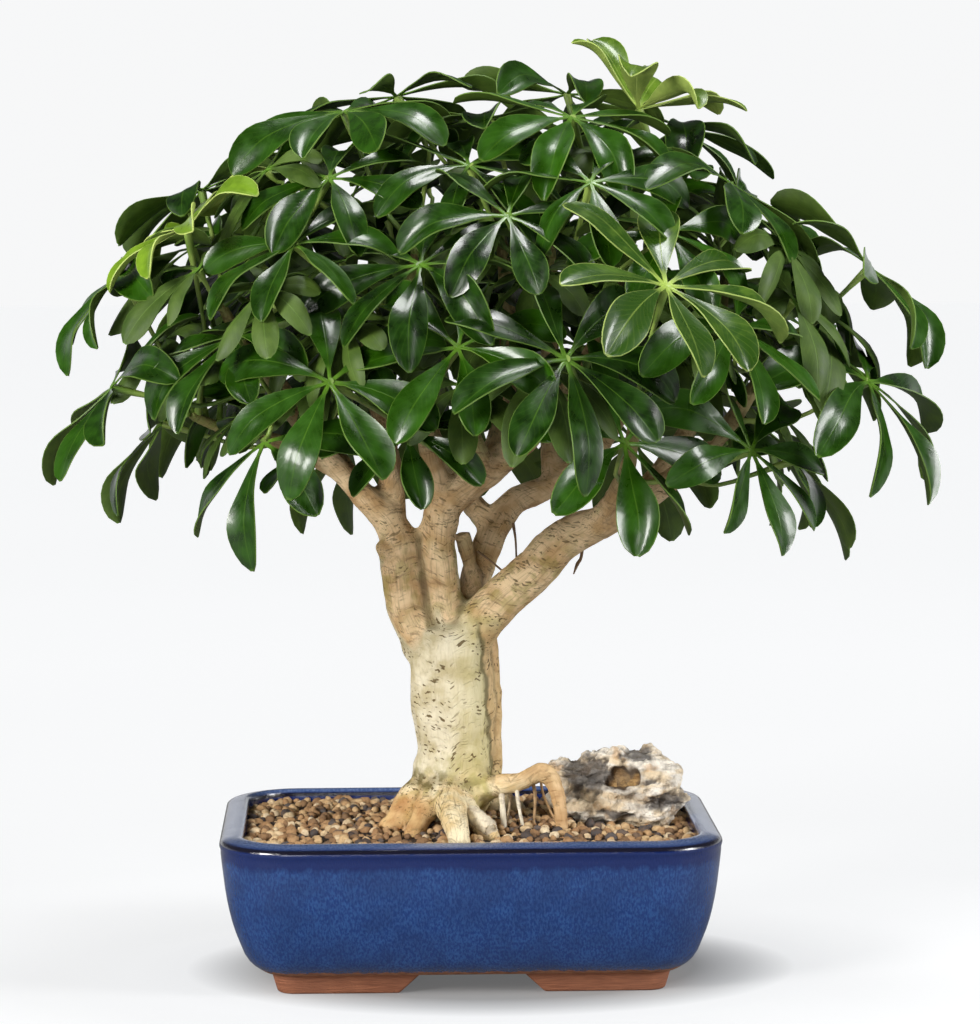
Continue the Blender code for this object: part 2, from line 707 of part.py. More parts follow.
class Crown:
    """Everything that has been placed so far, as search trees, so that new leaves stay clear."""

    def __init__(self, pieces):
        self.trees = [(millimetre_tree(obj), *object_box(obj)) for obj in pieces]

    def clear(self, tree, low, high):
        for other, other_low, other_high in self.trees:
            apart = any(low[k] > other_high[k] or high[k] < other_low[k] for k in range(3))
            if not apart and tree.overlap(other):
                return False
        return True

    def add(self, obj):
        self.trees.append((millimetre_tree(obj), *object_box(obj)))


def object_box(obj):
    points = [v.co / MM for v in obj.data.vertices]
    return box_of(points)


def box_of(points):
    low = Vector(min(p[k] for p in points) for k in range(3))
    high = Vector(max(p[k] for p in points) for k in range(3))
    return low, high


MATURE_GREEN = (0.028, 0.085, 0.012)
YOUNG_GREEN = (0.20, 0.30, 0.035)
LEAF_ROUGHNESS = 0.22
FEWEST_LEAFLETS = 5
DROOP = 0.46
RISE = 0.22
DROOPS = (0.0, 0.25, -0.2, 0.5, -0.4)
SWINGS = (0.0, 0.10, -0.10, 0.18, -0.18)


def try_leaf(crown, hub, facing, foot, start_angle, length, rise, count):
    """Grow a leaf's petiole and as many of its leaflets as have room."""
    upper, lower = hub_rings(hub, facing, start_angle, count)
    swollen = petiole_rings(hub, facing, foot, lower, LEAF_GAP)
    stalk = petiole_tree(lower, swollen)
    if not crown.clear(stalk, *box_of(list(lower) + swollen[0] + swollen[1])):
        return None
    leaflets = {}
    grown = []
    for i in range(count):
        j = (i + 1) % count
        corners = [upper[i], upper[j], lower[j], lower[i]]
        start = sum(corners, Vector()) / 4
        outward = (start - hub).normalized()
        reach = length * (1.0 - 0.13 * abs(math.sin(1.3 * i + start_angle)))
        for more, swing in zip(DROOPS, SWINGS):
            turned = Matrix.Rotation(swing, 3, facing) @ outward
            heading = (turned + rise * facing).normalized()
            fat = leaflet_rings(start, heading, facing, reach, DROOP + more, LEAF_GAP)
            tree = leaflet_tree(corners, fat)
            points = fat[0] + fat[1] + fat[2]
            if not crown.clear(tree, *box_of(points)):
                continue
            neck = [corner.lerp(wide, 0.3) for corner, wide in zip(corners, fat[0])]
            body = leaflet_tree(neck, fat)
            if any(body.overlap(other) for other in grown) or body.overlap(stalk):
                continue
            grown.append(body)
            leaflets[i] = leaflet_rings(start, heading, facing, reach, DROOP + more, 0.0)
            break
    petiole = petiole_rings(hub, facing, foot, lower)
    return upper, lower, hub, facing, leaflets, petiole


SHIFTS = [Vector(s) for s in (
    (0, 0, 0), (0, 0, 7), (6, 0, 3), (-6, 0, 3), (0, 7, 2), (0, -7, 2), (0, 0, -7),
    (9, 6, 5), (-9, -6, 5), (8, -8, 0), (-8, 8, 0), (0, 0, 13),
    (16, 0, 6), (-16, 0, 6), (0, 16, 6), (0, -16, 6), (0, 0, -15), (0, 0, 22))]


def leaf_at(crown, wood_tree, stations, hub, length, rise, count, number):
    """The fullest leaf that has room with its hub at this place."""
    best = None
    facing = leaf_facing(hub, number)
    feet = foot_candidates(wood_tree, hub, stations)
    for turn in range(3):
        start_angle = 0.7 * number + turn * math.tau / count / 3
        for foot in feet[:6]:
            leaf = try_leaf(crown, hub, facing, foot, start_angle, length, rise, count)
            if leaf is None:
                continue
            if best is None or len(leaf[4]) > len(best[4]):
                best = leaf
            break
        if best is not None and len(best[4]) == count:
            break
    return best


def grow_leaf(name, crown, wood_tree, stations, spec, number):
    """Grow a leaf near its place: further off, then smaller, until most leaflets have room."""
    x, y, z, share, count = spec[:5]
    rise = spec[5] if len(spec) > 5 else RISE
    wanted = crown_point(x, y, z)
    best = None
    for shorter in (1.0, 0.85, 0.7):
        for shift in SHIFTS:
            length = LEAFLET_LENGTH * share * shorter
            leaf = leaf_at(crown, wood_tree, stations, wanted + shift, length, rise, count, number)
            if leaf is not None and (best is None or len(leaf[4]) > len(best[4])):
                best = leaf
            if best is not None and len(best[4]) == count:
                break
        if best is not None and len(best[4]) >= FEWEST_LEAFLETS:
            break
    color = MATURE_GREEN if rise == RISE else YOUNG_GREEN
    return add_object(name, leaf_mesh(*best), finish(name, color, LEAF_ROUGHNESS))


def build_leaves(wood, others):
    wood_tree = millimetre_tree(wood)
    stations = []
    for points in LIMBS.values():
        route = smooth_route([limb_point(*p) for p in points])
        stations += [(p.to_3d(), p[3]) for p in route if p[3] < 4.8]
    crown = Crown([wood, *others])
    number = 0
    leaves = []
    for branch, specs in LEAVES.items():
        for index, spec in enumerate(specs, 1):
            leaf = grow_leaf(f"leaf_{branch}_{index}", crown, wood_tree, stations, spec, number)
            number += 1
            crown.add(leaf)
            leaves.append(leaf)
    return leaves


def centre_on_base(pieces):
    """Put the origin at the middle of the bottom of everything's box."""
    lows, highs = zip(*(object_box(obj) for obj in pieces))
    low = Vector(min(p[k] for p in lows) for k in range(3))
    high = Vector(max(p[k] for p in highs) for k in range(3))
    shift = Matrix.Translation(Vector((-(low.x + high.x) / 2, -(low.y + high.y) / 2, -low.z)) * MM)
    for obj in pieces:
        obj.data.transform(shift)


def main():
    clear_scene()
    pot = build_pot()
    screens = build_screens()
    wood = build_wood()
    stone = build_stone("stone")
    soil = build_soil()
    leaves = build_leaves(wood, [pot, stone, soil])
    centre_on_base([pot, *screens, wood, stone, soil, *leaves])
    for cutter in [obj for obj in bpy.data.objects if obj.hide_render]:
        bpy.data.objects.remove(cutter)


main()
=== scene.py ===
# %% [markdown]
# # A dwarf umbrella tree trained as a bonsai
#
# The tree grows from a shallow pot of blue glazed clay. A short pale trunk forks into a few limbs, and
# the limbs carry compound leaves: seven or eight leaflets that spread from one hub on a long stalk.
# A weathered stone lies beside the exposed roots, and the soil is made of loose fired granules.
#
# The measured model is loaded first and is never changed. Each piece made here takes its place and its
# size from that model, and stands for it in the picture.

# %% Load the measured model
import heapq
import json
import math
import random

import bmesh
import bpy
import numpy as np
from mathutils import Matrix, Vector, noise
from mathutils.bvhtree import BVHTree
from mathutils.kdtree import KDTree

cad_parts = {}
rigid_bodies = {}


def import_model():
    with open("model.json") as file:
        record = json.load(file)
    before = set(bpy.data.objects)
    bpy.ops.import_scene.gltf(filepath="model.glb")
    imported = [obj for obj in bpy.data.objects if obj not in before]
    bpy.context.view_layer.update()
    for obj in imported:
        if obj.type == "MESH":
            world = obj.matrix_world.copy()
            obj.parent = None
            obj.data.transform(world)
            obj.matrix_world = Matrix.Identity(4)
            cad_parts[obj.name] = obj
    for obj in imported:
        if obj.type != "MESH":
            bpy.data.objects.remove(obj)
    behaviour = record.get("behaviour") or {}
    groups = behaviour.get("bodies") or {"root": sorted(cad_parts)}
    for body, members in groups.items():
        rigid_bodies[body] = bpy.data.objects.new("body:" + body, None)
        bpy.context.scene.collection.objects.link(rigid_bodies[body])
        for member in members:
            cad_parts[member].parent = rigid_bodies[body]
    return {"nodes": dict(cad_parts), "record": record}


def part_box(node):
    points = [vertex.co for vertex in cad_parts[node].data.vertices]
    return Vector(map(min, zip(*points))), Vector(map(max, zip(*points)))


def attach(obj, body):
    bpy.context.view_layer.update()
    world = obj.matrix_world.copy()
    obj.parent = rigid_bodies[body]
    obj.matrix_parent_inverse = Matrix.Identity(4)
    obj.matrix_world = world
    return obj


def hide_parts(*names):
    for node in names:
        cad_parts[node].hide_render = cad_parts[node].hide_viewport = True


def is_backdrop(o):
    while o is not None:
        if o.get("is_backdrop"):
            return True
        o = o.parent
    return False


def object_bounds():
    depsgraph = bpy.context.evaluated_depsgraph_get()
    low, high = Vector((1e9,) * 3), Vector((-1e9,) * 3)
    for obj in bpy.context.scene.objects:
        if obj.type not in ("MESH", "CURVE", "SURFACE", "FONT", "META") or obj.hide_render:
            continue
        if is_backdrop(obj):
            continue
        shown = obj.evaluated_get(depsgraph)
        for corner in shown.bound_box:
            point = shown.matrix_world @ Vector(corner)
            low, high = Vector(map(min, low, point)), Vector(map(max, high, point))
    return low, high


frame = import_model()
CAD_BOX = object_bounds()
MM = 0.001
pot_low, pot_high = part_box("pot")
POT_MIDDLE = Vector(((pot_low.x + pot_high.x) / 2, (pot_low.y + pot_high.y) / 2, 0.0))
print("loaded", len(frame["nodes"]), "solids, pot", [round(1000 * v) for v in pot_high - pot_low], "mm")

# %% [markdown]
# ## Camera
#
# A small tree is looked at from a little above the rim of its pot, from well back, so that the pot's
# sides stay nearly upright and the crown isn't stretched. A long lens does that. The camera is set by
# its place against the middle of the pot, its turn, its tip down and a slight roll.

# %% Camera
CAMERA_PLACE = Vector((-0.0456, -1.517, 0.3223))
CAMERA_TURN, CAMERA_DIP, CAMERA_ROLL = -2.08, 5.1, -0.18

camera = bpy.data.objects.new("camera", bpy.data.cameras.new("camera"))
bpy.context.scene.collection.objects.link(camera)
camera.location = POT_MIDDLE + CAMERA_PLACE
turn = Matrix.Rotation(math.radians(CAMERA_TURN), 4, "Z")
tip = Matrix.Rotation(math.radians(90 - CAMERA_DIP), 4, "X")
roll = Matrix.Rotation(math.radians(CAMERA_ROLL), 4, "Z")
camera.rotation_euler = (turn @ tip @ roll).to_euler()
camera.data.lens = 131.8
camera.data.sensor_width = 36.0
camera.data.clip_end = 50.0
bpy.context.scene.camera = camera
print("camera", round((camera.location - POT_MIDDLE).length, 2), "m from the pot")

# %% [markdown]
# ## Finishes
#
# Every finish here is made of nodes. A sheet of nodes gets one short word for each step, so that each
# material below reads as a list of what happens on the surface. Two effects are shared, and so they are
# node groups: a cloudy mottle, and small scattered flecks. Each material sets their size and edges.

# %% Sheets of nodes
def srgb(red, green, blue):
    """A colour given in screen values from 0 to 255, as the shader wants it."""
    def straighten(c):
        c /= 255
        return c / 12.92 if c <= 0.04045 else ((c + 0.055) / 1.055) ** 2.4
    return (straighten(red), straighten(green), straighten(blue), 1.0)


class Sheet:
    """A tree of shader nodes, with one short word for each step."""

    def __init__(self, tree):
        self.tree = tree

    def join(self, value, socket):
        """Link a socket to another, or set it to a plain value."""
        if isinstance(value, bpy.types.NodeSocket):
            self.tree.links.new(value, socket)
        else:
            socket.default_value = value

    def node(self, kind, *values, **settings):
        """A node with its settings, and its inputs in order."""
        made = self.tree.nodes.new("ShaderNode" + kind)
        for key, value in settings.items():
            setattr(made, key, value)
        for socket, value in zip(made.inputs, values):
            self.join(value, socket)
        return made

    def maths(self, operation, *values, clamp=False):
        return self.node("Math", *values, operation=operation, use_clamp=clamp).outputs[0]

    def plus(self, a, b):
        return self.maths("ADD", a, b)

    def minus(self, a, b):
        return self.maths("SUBTRACT", a, b)

    def times(self, *values):
        product = values[0]
        for value in values[1:]:
            product = self.maths("MULTIPLY", product, value)
        return product

    def apart(self, a, b):
        """How far two values are from each other."""
        return self.maths("ABSOLUTE", self.minus(a, b))

    def between(self, value, low, high, *to):
        """A value's share of the way from low to high, or its place in another range."""
        return self.node("MapRange", value, low, high, *to).outputs[0]

    def blend(self, share, low, high):
        """One colour turns into another as share goes from 0 to 1."""
        made = self.node("Mix", share, data_type="RGBA")
        self.join(low, made.inputs[6])
        self.join(high, made.inputs[7])
        return made.outputs[2]

    def tinted(self, colour, *layers):
        """A colour under thin layers: each is a mask, its strength and a colour of its own."""
        for mask, strength, over in layers:
            colour = self.blend(self.times(mask, strength), colour, over)
        return colour

    def ramp(self, value, *stops):
        """A colour for each value: stops are pairs of a place and a colour."""
        made = self.node("ValToRGB", value)
        steps = made.color_ramp.elements
        while len(steps) < len(stops):
            steps.new(0.5)
        for step, (place, colour) in zip(steps, stops):
            step.position = place
            step.color = colour
        return made.outputs["Color"]

    def own(self, name):
        """A number that the piece's mesh carries, such as its tone."""
        return self.node("Attribute", attribute_name=name).outputs["Fac"]

    def place(self, scale=(1, 1, 1), turn=(0, 0, 0)):
        """Object coordinates in millimetres, turned and stretched."""
        mapped = self.node("Mapping", self.node("TexCoord").outputs["Object"])
        mapped.inputs["Rotation"].default_value = turn
        mapped.inputs["Scale"].default_value = [1000 * s for s in scale]
        return mapped.outputs[0]

    def axis(self, vector, letter):
        return self.node("SeparateXYZ", vector).outputs[letter]

    def bump(self, height, strength, distance, below=None):
        made = self.node("Bump")
        made.inputs["Strength"].default_value = strength
        made.inputs["Distance"].default_value = distance
        self.join(height, made.inputs["Height"])
        if below is not None:
            self.join(below, made.inputs["Normal"])
        return made.outputs[0]

    def effect(self, group, vector, *numbers):
        """The mask that a shared effect gives."""
        made = self.tree.nodes.new("ShaderNodeGroup")
        made.node_tree = group.tree
        for socket, value in zip(made.inputs, (vector, *numbers)):
            self.join(value, socket)
        return made.outputs["Mask"]


class Finish(Sheet):
    """A new material and its sheet of nodes."""

    def __init__(self, name):
        self.material = bpy.data.materials.new(name)
        self.material.use_nodes = True
        super().__init__(self.material.node_tree)

    def surface(self, **values):
        """Set the shader's inputs. A name is written with low lines for its spaces."""
        shader = self.tree.nodes["Principled BSDF"]
        for name, value in values.items():
            self.join(value, shader.inputs[name.replace("_", " ")])


print("helpers ready")


# %% Shared effects
def new_group(name, **numbers):
    """A node group with a Vector, its own numbers and one Mask: its sheet, its inputs and its output."""
    group = bpy.data.node_groups.new(name, "ShaderNodeTree")
    group.interface.new_socket("Vector", in_out="INPUT", socket_type="NodeSocketVector")
    for label, value in numbers.items():
        socket = group.interface.new_socket(label, in_out="INPUT", socket_type="NodeSocketFloat")
        socket.default_value = value
    group.interface.new_socket("Mask", in_out="OUTPUT", socket_type="NodeSocketFloat")
    given = group.nodes.new("NodeGroupInput").outputs
    return Sheet(group), given, group.nodes.new("NodeGroupOutput").inputs["Mask"]


mottle, given, mask = new_group("Mottle", Size=5.0, Detail=3.0, From=0.4, To=0.6)
clouds = mottle.node("TexNoise")
mottle.join(given["Vector"], clouds.inputs["Vector"])
mottle.join(mottle.maths("DIVIDE", 1.0, given["Size"]), clouds.inputs["Scale"])
mottle.join(given["Detail"], clouds.inputs["Detail"])
edge = mottle.node("MapRange", clouds.outputs[0], given["From"], given["To"], interpolation_type="SMOOTHSTEP")
mottle.join(edge.outputs[0], mask)

flecks, given, mask = new_group("Flecks", Size=2.0, Spread=0.3)
cells = flecks.node("TexVoronoi")
flecks.join(given["Vector"], cells.inputs["Vector"])
flecks.join(flecks.maths("DIVIDE", 1.0, given["Size"]), cells.inputs["Scale"])
flecks.join(flecks.between(cells.outputs["Distance"], given["Spread"], 0.0), mask)
print("groups:", mottle.tree.name, flecks.tree.name)

# %% [markdown]
# ## Floor and light
#
# The tree stands on a wide sheet of white paper. It has a glow of its own for the camera only, which
# hides where the paper ends and leaves a soft shade around the pot. Large soft lights at both sides,
# above and in front give the leaves and the glaze broad reflections, and the inside of the crown stays
# dark.

# %% Floor
def new_object(name, bm, *materials, smooth_angle=None):
    """A mesh object from a bmesh, with its materials and its sharp edges."""
    mesh = bpy.data.meshes.new(name)
    bm.to_mesh(mesh)
    bm.free()
    for material in materials:
        mesh.materials.append(material)
    made = bpy.data.objects.new(name, mesh)
    bpy.context.scene.collection.objects.link(made)
    mesh.shade_smooth()
    if smooth_angle is not None:
        mesh.set_sharp_from_angle(angle=math.radians(smooth_angle))
    return made


# The paper's glow by distance from the pot: almost none just under it, a painted shadow, then a soft painted
# shade close around it, and an even white farther out.
GLOW_AND_SHADE_STEPS = ((0.018, 0.12), (0.0215, 0.69), (0.0275, 0.72), (0.0425, 0.69), (0.0625, 0.67), (0.0925, 0.68),
              (0.1375, 0.72), (0.1875, 0.755), (0.25, 0.80), (0.33, 0.835), (0.5, 0.875), (0.75, 0.90))
bm = bmesh.new()
bmesh.ops.create_grid(bm, x_segments=4, y_segments=4, size=8.0)
paper = Finish("white_paper")
spot = paper.node("Mapping", paper.node("TexCoord").outputs["Object"])
spot.inputs["Scale"].default_value = (0.1875, 0.25, 0.25)
away = paper.node("VectorMath", spot.outputs[0], operation="LENGTH").outputs["Value"]
glow_and_shade = paper.ramp(away, *((place, (level, level, level, 1)) for place, level in GLOW_AND_SHADE_STEPS))
seen = paper.node("LightPath").outputs["Is Camera Ray"]
paper.surface(Base_Color=(0.25, 0.252, 0.255, 1), Roughness=0.8, Specular_IOR_Level=0.2,
              Emission_Color=(0.98, 0.99, 1.0, 1), Emission_Strength=paper.times(glow_and_shade, seen))
floor = new_object("floor", bm, paper.material)
floor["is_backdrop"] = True
print("floor laid")


# %% Lights
def softbox(name, place, size, power, aim, colour=(1.0, 1.0, 1.0)):
    """A square soft light that faces a point of the tree."""
    data = bpy.data.lights.new(name, "AREA")
    data.shape = "RECTANGLE"
    data.size, data.size_y = size
    data.energy = power
    data.color = colour
    made = bpy.data.objects.new(name, data)
    bpy.context.scene.collection.objects.link(made)
    made.location = Vector(place)
    made.rotation_euler = (Vector(aim) - made.location).to_track_quat("-Z", "Y").to_euler()


softbox("light_left", (-1.15, -1.05, 0.72), (0.45, 0.6), 31.0, (0, 0, 0.16), (1.0, 0.985, 0.96))
softbox("light_right", (1.35, -0.6, 0.62), (0.4, 0.7), 22.0, (0, 0, 0.18))
softbox("light_top", (0.15, 0.1, 1.6), (0.5, 0.4), 13.0, (0, 0, 0.2))
softbox("light_front", (-0.45, -2.0, 0.3), (0.6, 0.4), 7.0, (0, 0, 0.14), (1.0, 0.99, 0.97))
print("four lights set")

# %% Surroundings
world = bpy.data.worlds.new("surroundings")
bpy.context.scene.world = world
world.use_nodes = True
sky = Sheet(world.node_tree)
split = sky.node("SeparateXYZ", sky.node("TexCoord").outputs["Generated"]).outputs
dim = sky.ramp(sky.maths("MULTIPLY_ADD", split["Y"], 0.5, 0.5),
               (0.0, (0.018, 0.018, 0.018, 1)), (0.85, (0.07, 0.071, 0.072, 1)))
low_behind = sky.times(sky.between(split["Z"], 0.27, 0.14), sky.between(split["Y"], -0.1, 0.5))
dim = sky.blend(low_behind, dim, (0.85, 0.86, 0.87, 1))
seen = sky.node("LightPath").outputs["Is Camera Ray"]
backdrop = sky.blend(seen, dim, (0.93, 0.935, 0.94, 1))
sky.join(backdrop, world.node_tree.nodes["Background"].inputs["Color"])
bpy.context.scene.view_settings.view_transform = "Standard"
print("surroundings set")

# %% [markdown]
# ## Pot
#
# The pot is one piece of clay, pressed in a mould: a rounded rectangle whose walls curve in towards the
# foot, with a broad, gently rounded rim. It could be cut from a block, but a wall that is drawn up ring
# by ring keeps an even thickness. A square is made, its corners are rounded by a bevel, and its outline
# is extruded up the outside, over the rim, down the inside and across the floor.

# %% Pot outline
POT_SIZE = pot_high - pot_low
POT_TOP = pot_high.z
CORNER = 30 * MM


def settle_ring(verts, inset, z):
    """Put a ring of the pot's outline at its inset from the widest outline, and at its height."""
    core = Vector((POT_SIZE.x / 2 - CORNER, POT_SIZE.y / 2 - CORNER))
    for v in verts:
        flat = (v.co - POT_MIDDLE).xy
        inner = Vector((max(-core.x, min(core.x, flat.x)), max(-core.y, min(core.y, flat.y))))
        out = (flat - inner).normalized() * (CORNER - inset)
        v.co = (POT_MIDDLE.x + inner.x + out.x, POT_MIDDLE.y + inner.y + out.y, z)


def rounded_outline(bm, inset, z):
    """The pot's outline, as one ring of edges."""
    bmesh.ops.create_grid(bm, x_segments=1, y_segments=1, size=0.5)
    bmesh.ops.scale(bm, verts=bm.verts, vec=(POT_SIZE.x, POT_SIZE.y, 1.0))
    bmesh.ops.translate(bm, verts=bm.verts, vec=POT_MIDDLE)
    bmesh.ops.bevel(bm, geom=bm.verts[:], offset=CORNER, segments=18, profile=0.5, material=-1,
                    affect="VERTICES", clamp_overlap=False)
    straight = [e for e in bm.edges if e.calc_length() > 2 * CORNER]
    bmesh.ops.subdivide_edges(bm, edges=straight, cuts=11)
    bmesh.ops.delete(bm, geom=bm.faces[:], context="FACES_ONLY")
    settle_ring(bm.verts, inset, z)
    return bm.edges[:]


def extruded(bm, ring):
    """The new edges and the new points of an extruded ring of edges."""
    grown = bmesh.ops.extrude_edge_only(bm, edges=ring)["geom"]
    edges = [g for g in grown if isinstance(g, bmesh.types.BMEdge)]
    return edges, [g for g in grown if isinstance(g, bmesh.types.BMVert)]


def close_ends(bm, *rings):
    for ring in rings:
        bmesh.ops.holes_fill(bm, edges=ring, sides=0)
    bmesh.ops.recalc_face_normals(bm, faces=bm.faces)


def draw_up(steps):
    """A closed body: the outline extruded from step to step, each an inset and a height."""
    bm = bmesh.new()
    first = ring = rounded_outline(bm, *steps[0])
    for inset, z in steps[1:]:
        ring, fresh = extruded(bm, ring)
        settle_ring(fresh, inset, z)
    close_ends(bm, first, ring)
    return bm


print("outline ready, corners", round(1000 * CORNER), "mm")

# %% Pot body
FOOT = 8 * MM
OUTSIDE = [(19.5, 0.0), (17.6, 0.008), (15.6, 0.028), (13.2, 0.058), (11.4, 0.09), (9.6, 0.14), (7.7, 0.225),
           (6.2, 0.295), (4.9, 0.37), (3.8, 0.45), (2.9, 0.53), (2.1, 0.62), (1.5, 0.71), (0.9, 0.80),
           (0.5, 0.87), (0.45, 0.905)]
RIM = [(0.2, -4.7), (0.0, -3.9), (0.03, -3.2), (0.25, -2.5), (0.8, -1.85), (1.7, -1.3), (3.0, -0.85),
       (4.6, -0.45), (6.2, -0.15), (7.4, -0.05), (8.3, -0.12), (9.0, -0.5), (9.4, -1.1), (9.6, -2.0)]
INSIDE_STEPS = (0.05, 0.2, 0.4, 0.6, 0.8, 0.92, 1)

steps = [(inset * MM, FOOT + share * (POT_TOP - FOOT)) for inset, share in OUTSIDE]
steps += [(inset * MM, POT_TOP + drop * MM) for inset, drop in RIM]
for t in INSIDE_STEPS:
    steps.append(((9.9 + 2.6 * t + 9.0 * t ** 5) * MM, POT_TOP - 3 * MM - t * 46 * MM))
pot_body = draw_up(steps)
print("pot body:", len(pot_body.faces), "faces, top at", round(1000 * POT_TOP, 1), "mm")

# %% [markdown]
# ## Glaze
#
# The glaze is a deep blue glass over brown clay. It is thinnest on the edge of the rim, where it breaks
# to a dark brown line, and it runs down from there, so a darker band hangs under the rim with a wavy
# lower edge. The body is finely mottled. The glaze stops a little above the underside, where the bare
# clay shows. Height on the pot decides all of these, and a mottle makes each edge uneven.

# %% Glaze
RIM_HEIGHT = POT_TOP * 1000
glaze = Finish("glazed_clay")
where = glaze.place()
height = glaze.axis(where, "Z")
wobble = glaze.effect(mottle, glaze.place((1, 1, 0.15)), 3.2, 3.0, 0.25, 0.75)
fine = glaze.effect(mottle, glaze.place((1, 1, 0.45)), 0.75, 5.0, 0.36, 0.66)
broad = glaze.effect(mottle, where, 11.0, 4.0, 0.34, 0.68)
pinholes = glaze.effect(flecks, where, 1.5, 0.17)
below_rim = glaze.minus(RIM_HEIGHT - 8.4, glaze.times(wobble, 1.9))
drip = glaze.between(glaze.minus(height, below_rim), -1.5, 0.9)
brown = glaze.between(glaze.apart(height, RIM_HEIGHT - 2.3), 1.15, 0.45)
colour = glaze.tinted(glaze.blend(fine, srgb(16, 48, 106), srgb(36, 74, 130)),
                      (broad, 0.45, srgb(14, 40, 88)), (pinholes, 0.55, srgb(20, 30, 62)),
                      (drip, 0.92, srgb(0, 26, 84)), (brown, 0.9, srgb(24, 20, 22)))
# Painted sheen: the broad top of the rim, which faces the lights, is painted a paler grey-blue.
rim_top_sheen = glaze.between(height, RIM_HEIGHT - 1.7, RIM_HEIGHT - 0.7)
colour = glaze.blend(rim_top_sheen, colour, glaze.blend(fine, srgb(62, 84, 130), srgb(96, 114, 156)))
clay_grain = glaze.effect(mottle, glaze.place((0.35, 0.35, 2.5)), 1.2, 5.0, 0.3, 0.7)
clay = glaze.blend(clay_grain, srgb(134, 84, 58), srgb(176, 120, 86))
glaze_foot = glaze.plus(FOOT * 1000 + 1.5, glaze.times(wobble, 1.1))
bare = glaze.between(glaze.minus(height, glaze_foot), 0.25, -0.25)
soft = glaze.bump(glaze.plus(glaze.times(fine, 0.5), broad), 0.28, 0.00035)
glaze.surface(Base_Color=glaze.blend(bare, colour, clay), Roughness=glaze.between(bare, 0.0, 1.0, 0.17, 0.82),
              Coat_Weight=glaze.between(bare, 0.0, 1.0, 0.55, 0.0), Coat_Roughness=0.05,
              Normal=glaze.bump(drip, 0.35, 0.0004, soft))
print("glaze mixed:", len(glaze.tree.nodes), "nodes")

# %% [markdown]
# ## Drain holes and screens
#
# Two round holes in the pot's floor let water out. They are drilled, so a cylinder is taken out of the
# body at each. A square of black plastic mesh lies over each hole and keeps the soil in. It is seen only
# from below, and a wireframe of a subdivided square makes its grid of thin strands.

# %% Pot with its drain holes
def as_shown(target):
    """A new mesh of an object with its modifiers applied."""
    bpy.context.view_layer.update()
    return bpy.data.meshes.new_from_object(target.evaluated_get(bpy.context.evaluated_depsgraph_get()))


def cut(target, cutter):
    """Take the cutter's shape out of the target's mesh for good."""
    tool = target.modifiers.new("cut", "BOOLEAN")
    tool.object = cutter
    tool.solver = "EXACT"
    mesh = as_shown(target)
    target.modifiers.clear()
    target.data = mesh
    bpy.data.objects.remove(cutter)


pot = new_object("pot_glazed_body", pot_body, glaze.material, smooth_angle=50)
screen_low, screen_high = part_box("drain_screen_left")
hole_x = POT_MIDDLE.x - (screen_low.x + screen_high.x) / 2
bm = bmesh.new()
for side in (-1, 1):
    drain = Matrix.Translation(POT_MIDDLE + Vector((side * hole_x, 0, 10 * MM)))
    bmesh.ops.create_cone(bm, segments=40, radius1=8 * MM, radius2=8 * MM, depth=24 * MM, cap_ends=True,
                          matrix=drain)
cut(pot, new_object("drain_drill", bm))
pot.data.shade_smooth()
pot.data.set_sharp_from_angle(angle=math.radians(50))
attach(pot, "root")
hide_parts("pot")
print("pot cut:", len(pot.data.polygons), "faces")

# %% [markdown]
# ## Feet
#
# Four bare clay feet carry the pot. On the real pot, they are what is left of one band under the body
# when two shallow channels are cut across it, so they share the body's rounded corners, and their inner
# ends slope up. The same band and the same cuts are made here, and the edges are then softened.

# %% Feet
BASE_INSET = 19.5 * MM
BAND = ((3.3, 0.0), (2.2, 3.6), (1.2, 7), (0.9, 9.2))
FOOT_LENGTH, FOOT_DEPTH = 49.5 * MM, 33 * MM
CHANNEL_TOP = 10 * MM


def channel(half, quarter):
    """A cutter for one channel: wider below, with rounded upper edges."""
    bm = bmesh.new()
    bmesh.ops.create_cube(bm, size=1.0)
    bmesh.ops.scale(bm, verts=bm.verts, vec=(2 * half, 0.4, 14 * MM))
    bmesh.ops.translate(bm, verts=bm.verts, vec=(0, 0, 5 * MM))
    top = [v for v in bm.verts if v.co.z > CHANNEL_TOP]
    bmesh.ops.scale(bm, verts=top, vec=((half - 14.5 * MM) / half, 1.0, 1.0))
    high = [e for e in bm.edges if all(v.co.z > CHANNEL_TOP for v in e.verts)]
    ends = [e for e in high if abs(e.verts[0].co.x - e.verts[1].co.x) < 1e-6]
    bmesh.ops.bevel(bm, geom=ends, offset=3 * MM, segments=4, profile=0.5, material=-1, affect="EDGES")
    bmesh.ops.rotate(bm, verts=bm.verts, matrix=Matrix.Rotation(quarter, 3, "Z"))
    bmesh.ops.translate(bm, verts=bm.verts, vec=POT_MIDDLE)
    return new_object("channel", bm)


band = new_object("foot_band", draw_up([(BASE_INSET + inset * MM, z * MM) for inset, z in BAND]))
cut(band, channel(POT_SIZE.x / 2 - BASE_INSET - FOOT_LENGTH, 0.0))
cut(band, channel(POT_SIZE.y / 2 - BASE_INSET - FOOT_DEPTH, math.pi / 2))
bm = bmesh.new()
bm.from_mesh(band.data)
bpy.data.objects.remove(band)
bmesh.ops.remove_doubles(bm, verts=bm.verts, dist=1e-5)
bmesh.ops.dissolve_limit(bm, angle_limit=0.01, verts=bm.verts, edges=bm.edges)
sharp = [e for e in bm.edges if len(e.link_faces) == 2 and e.calc_face_angle(0) > 0.6]
bmesh.ops.bevel(bm, geom=sharp, offset=0.9 * MM, segments=3, profile=0.5, material=-1, affect="EDGES")
bmesh.ops.triangulate(bm, faces=bm.faces)

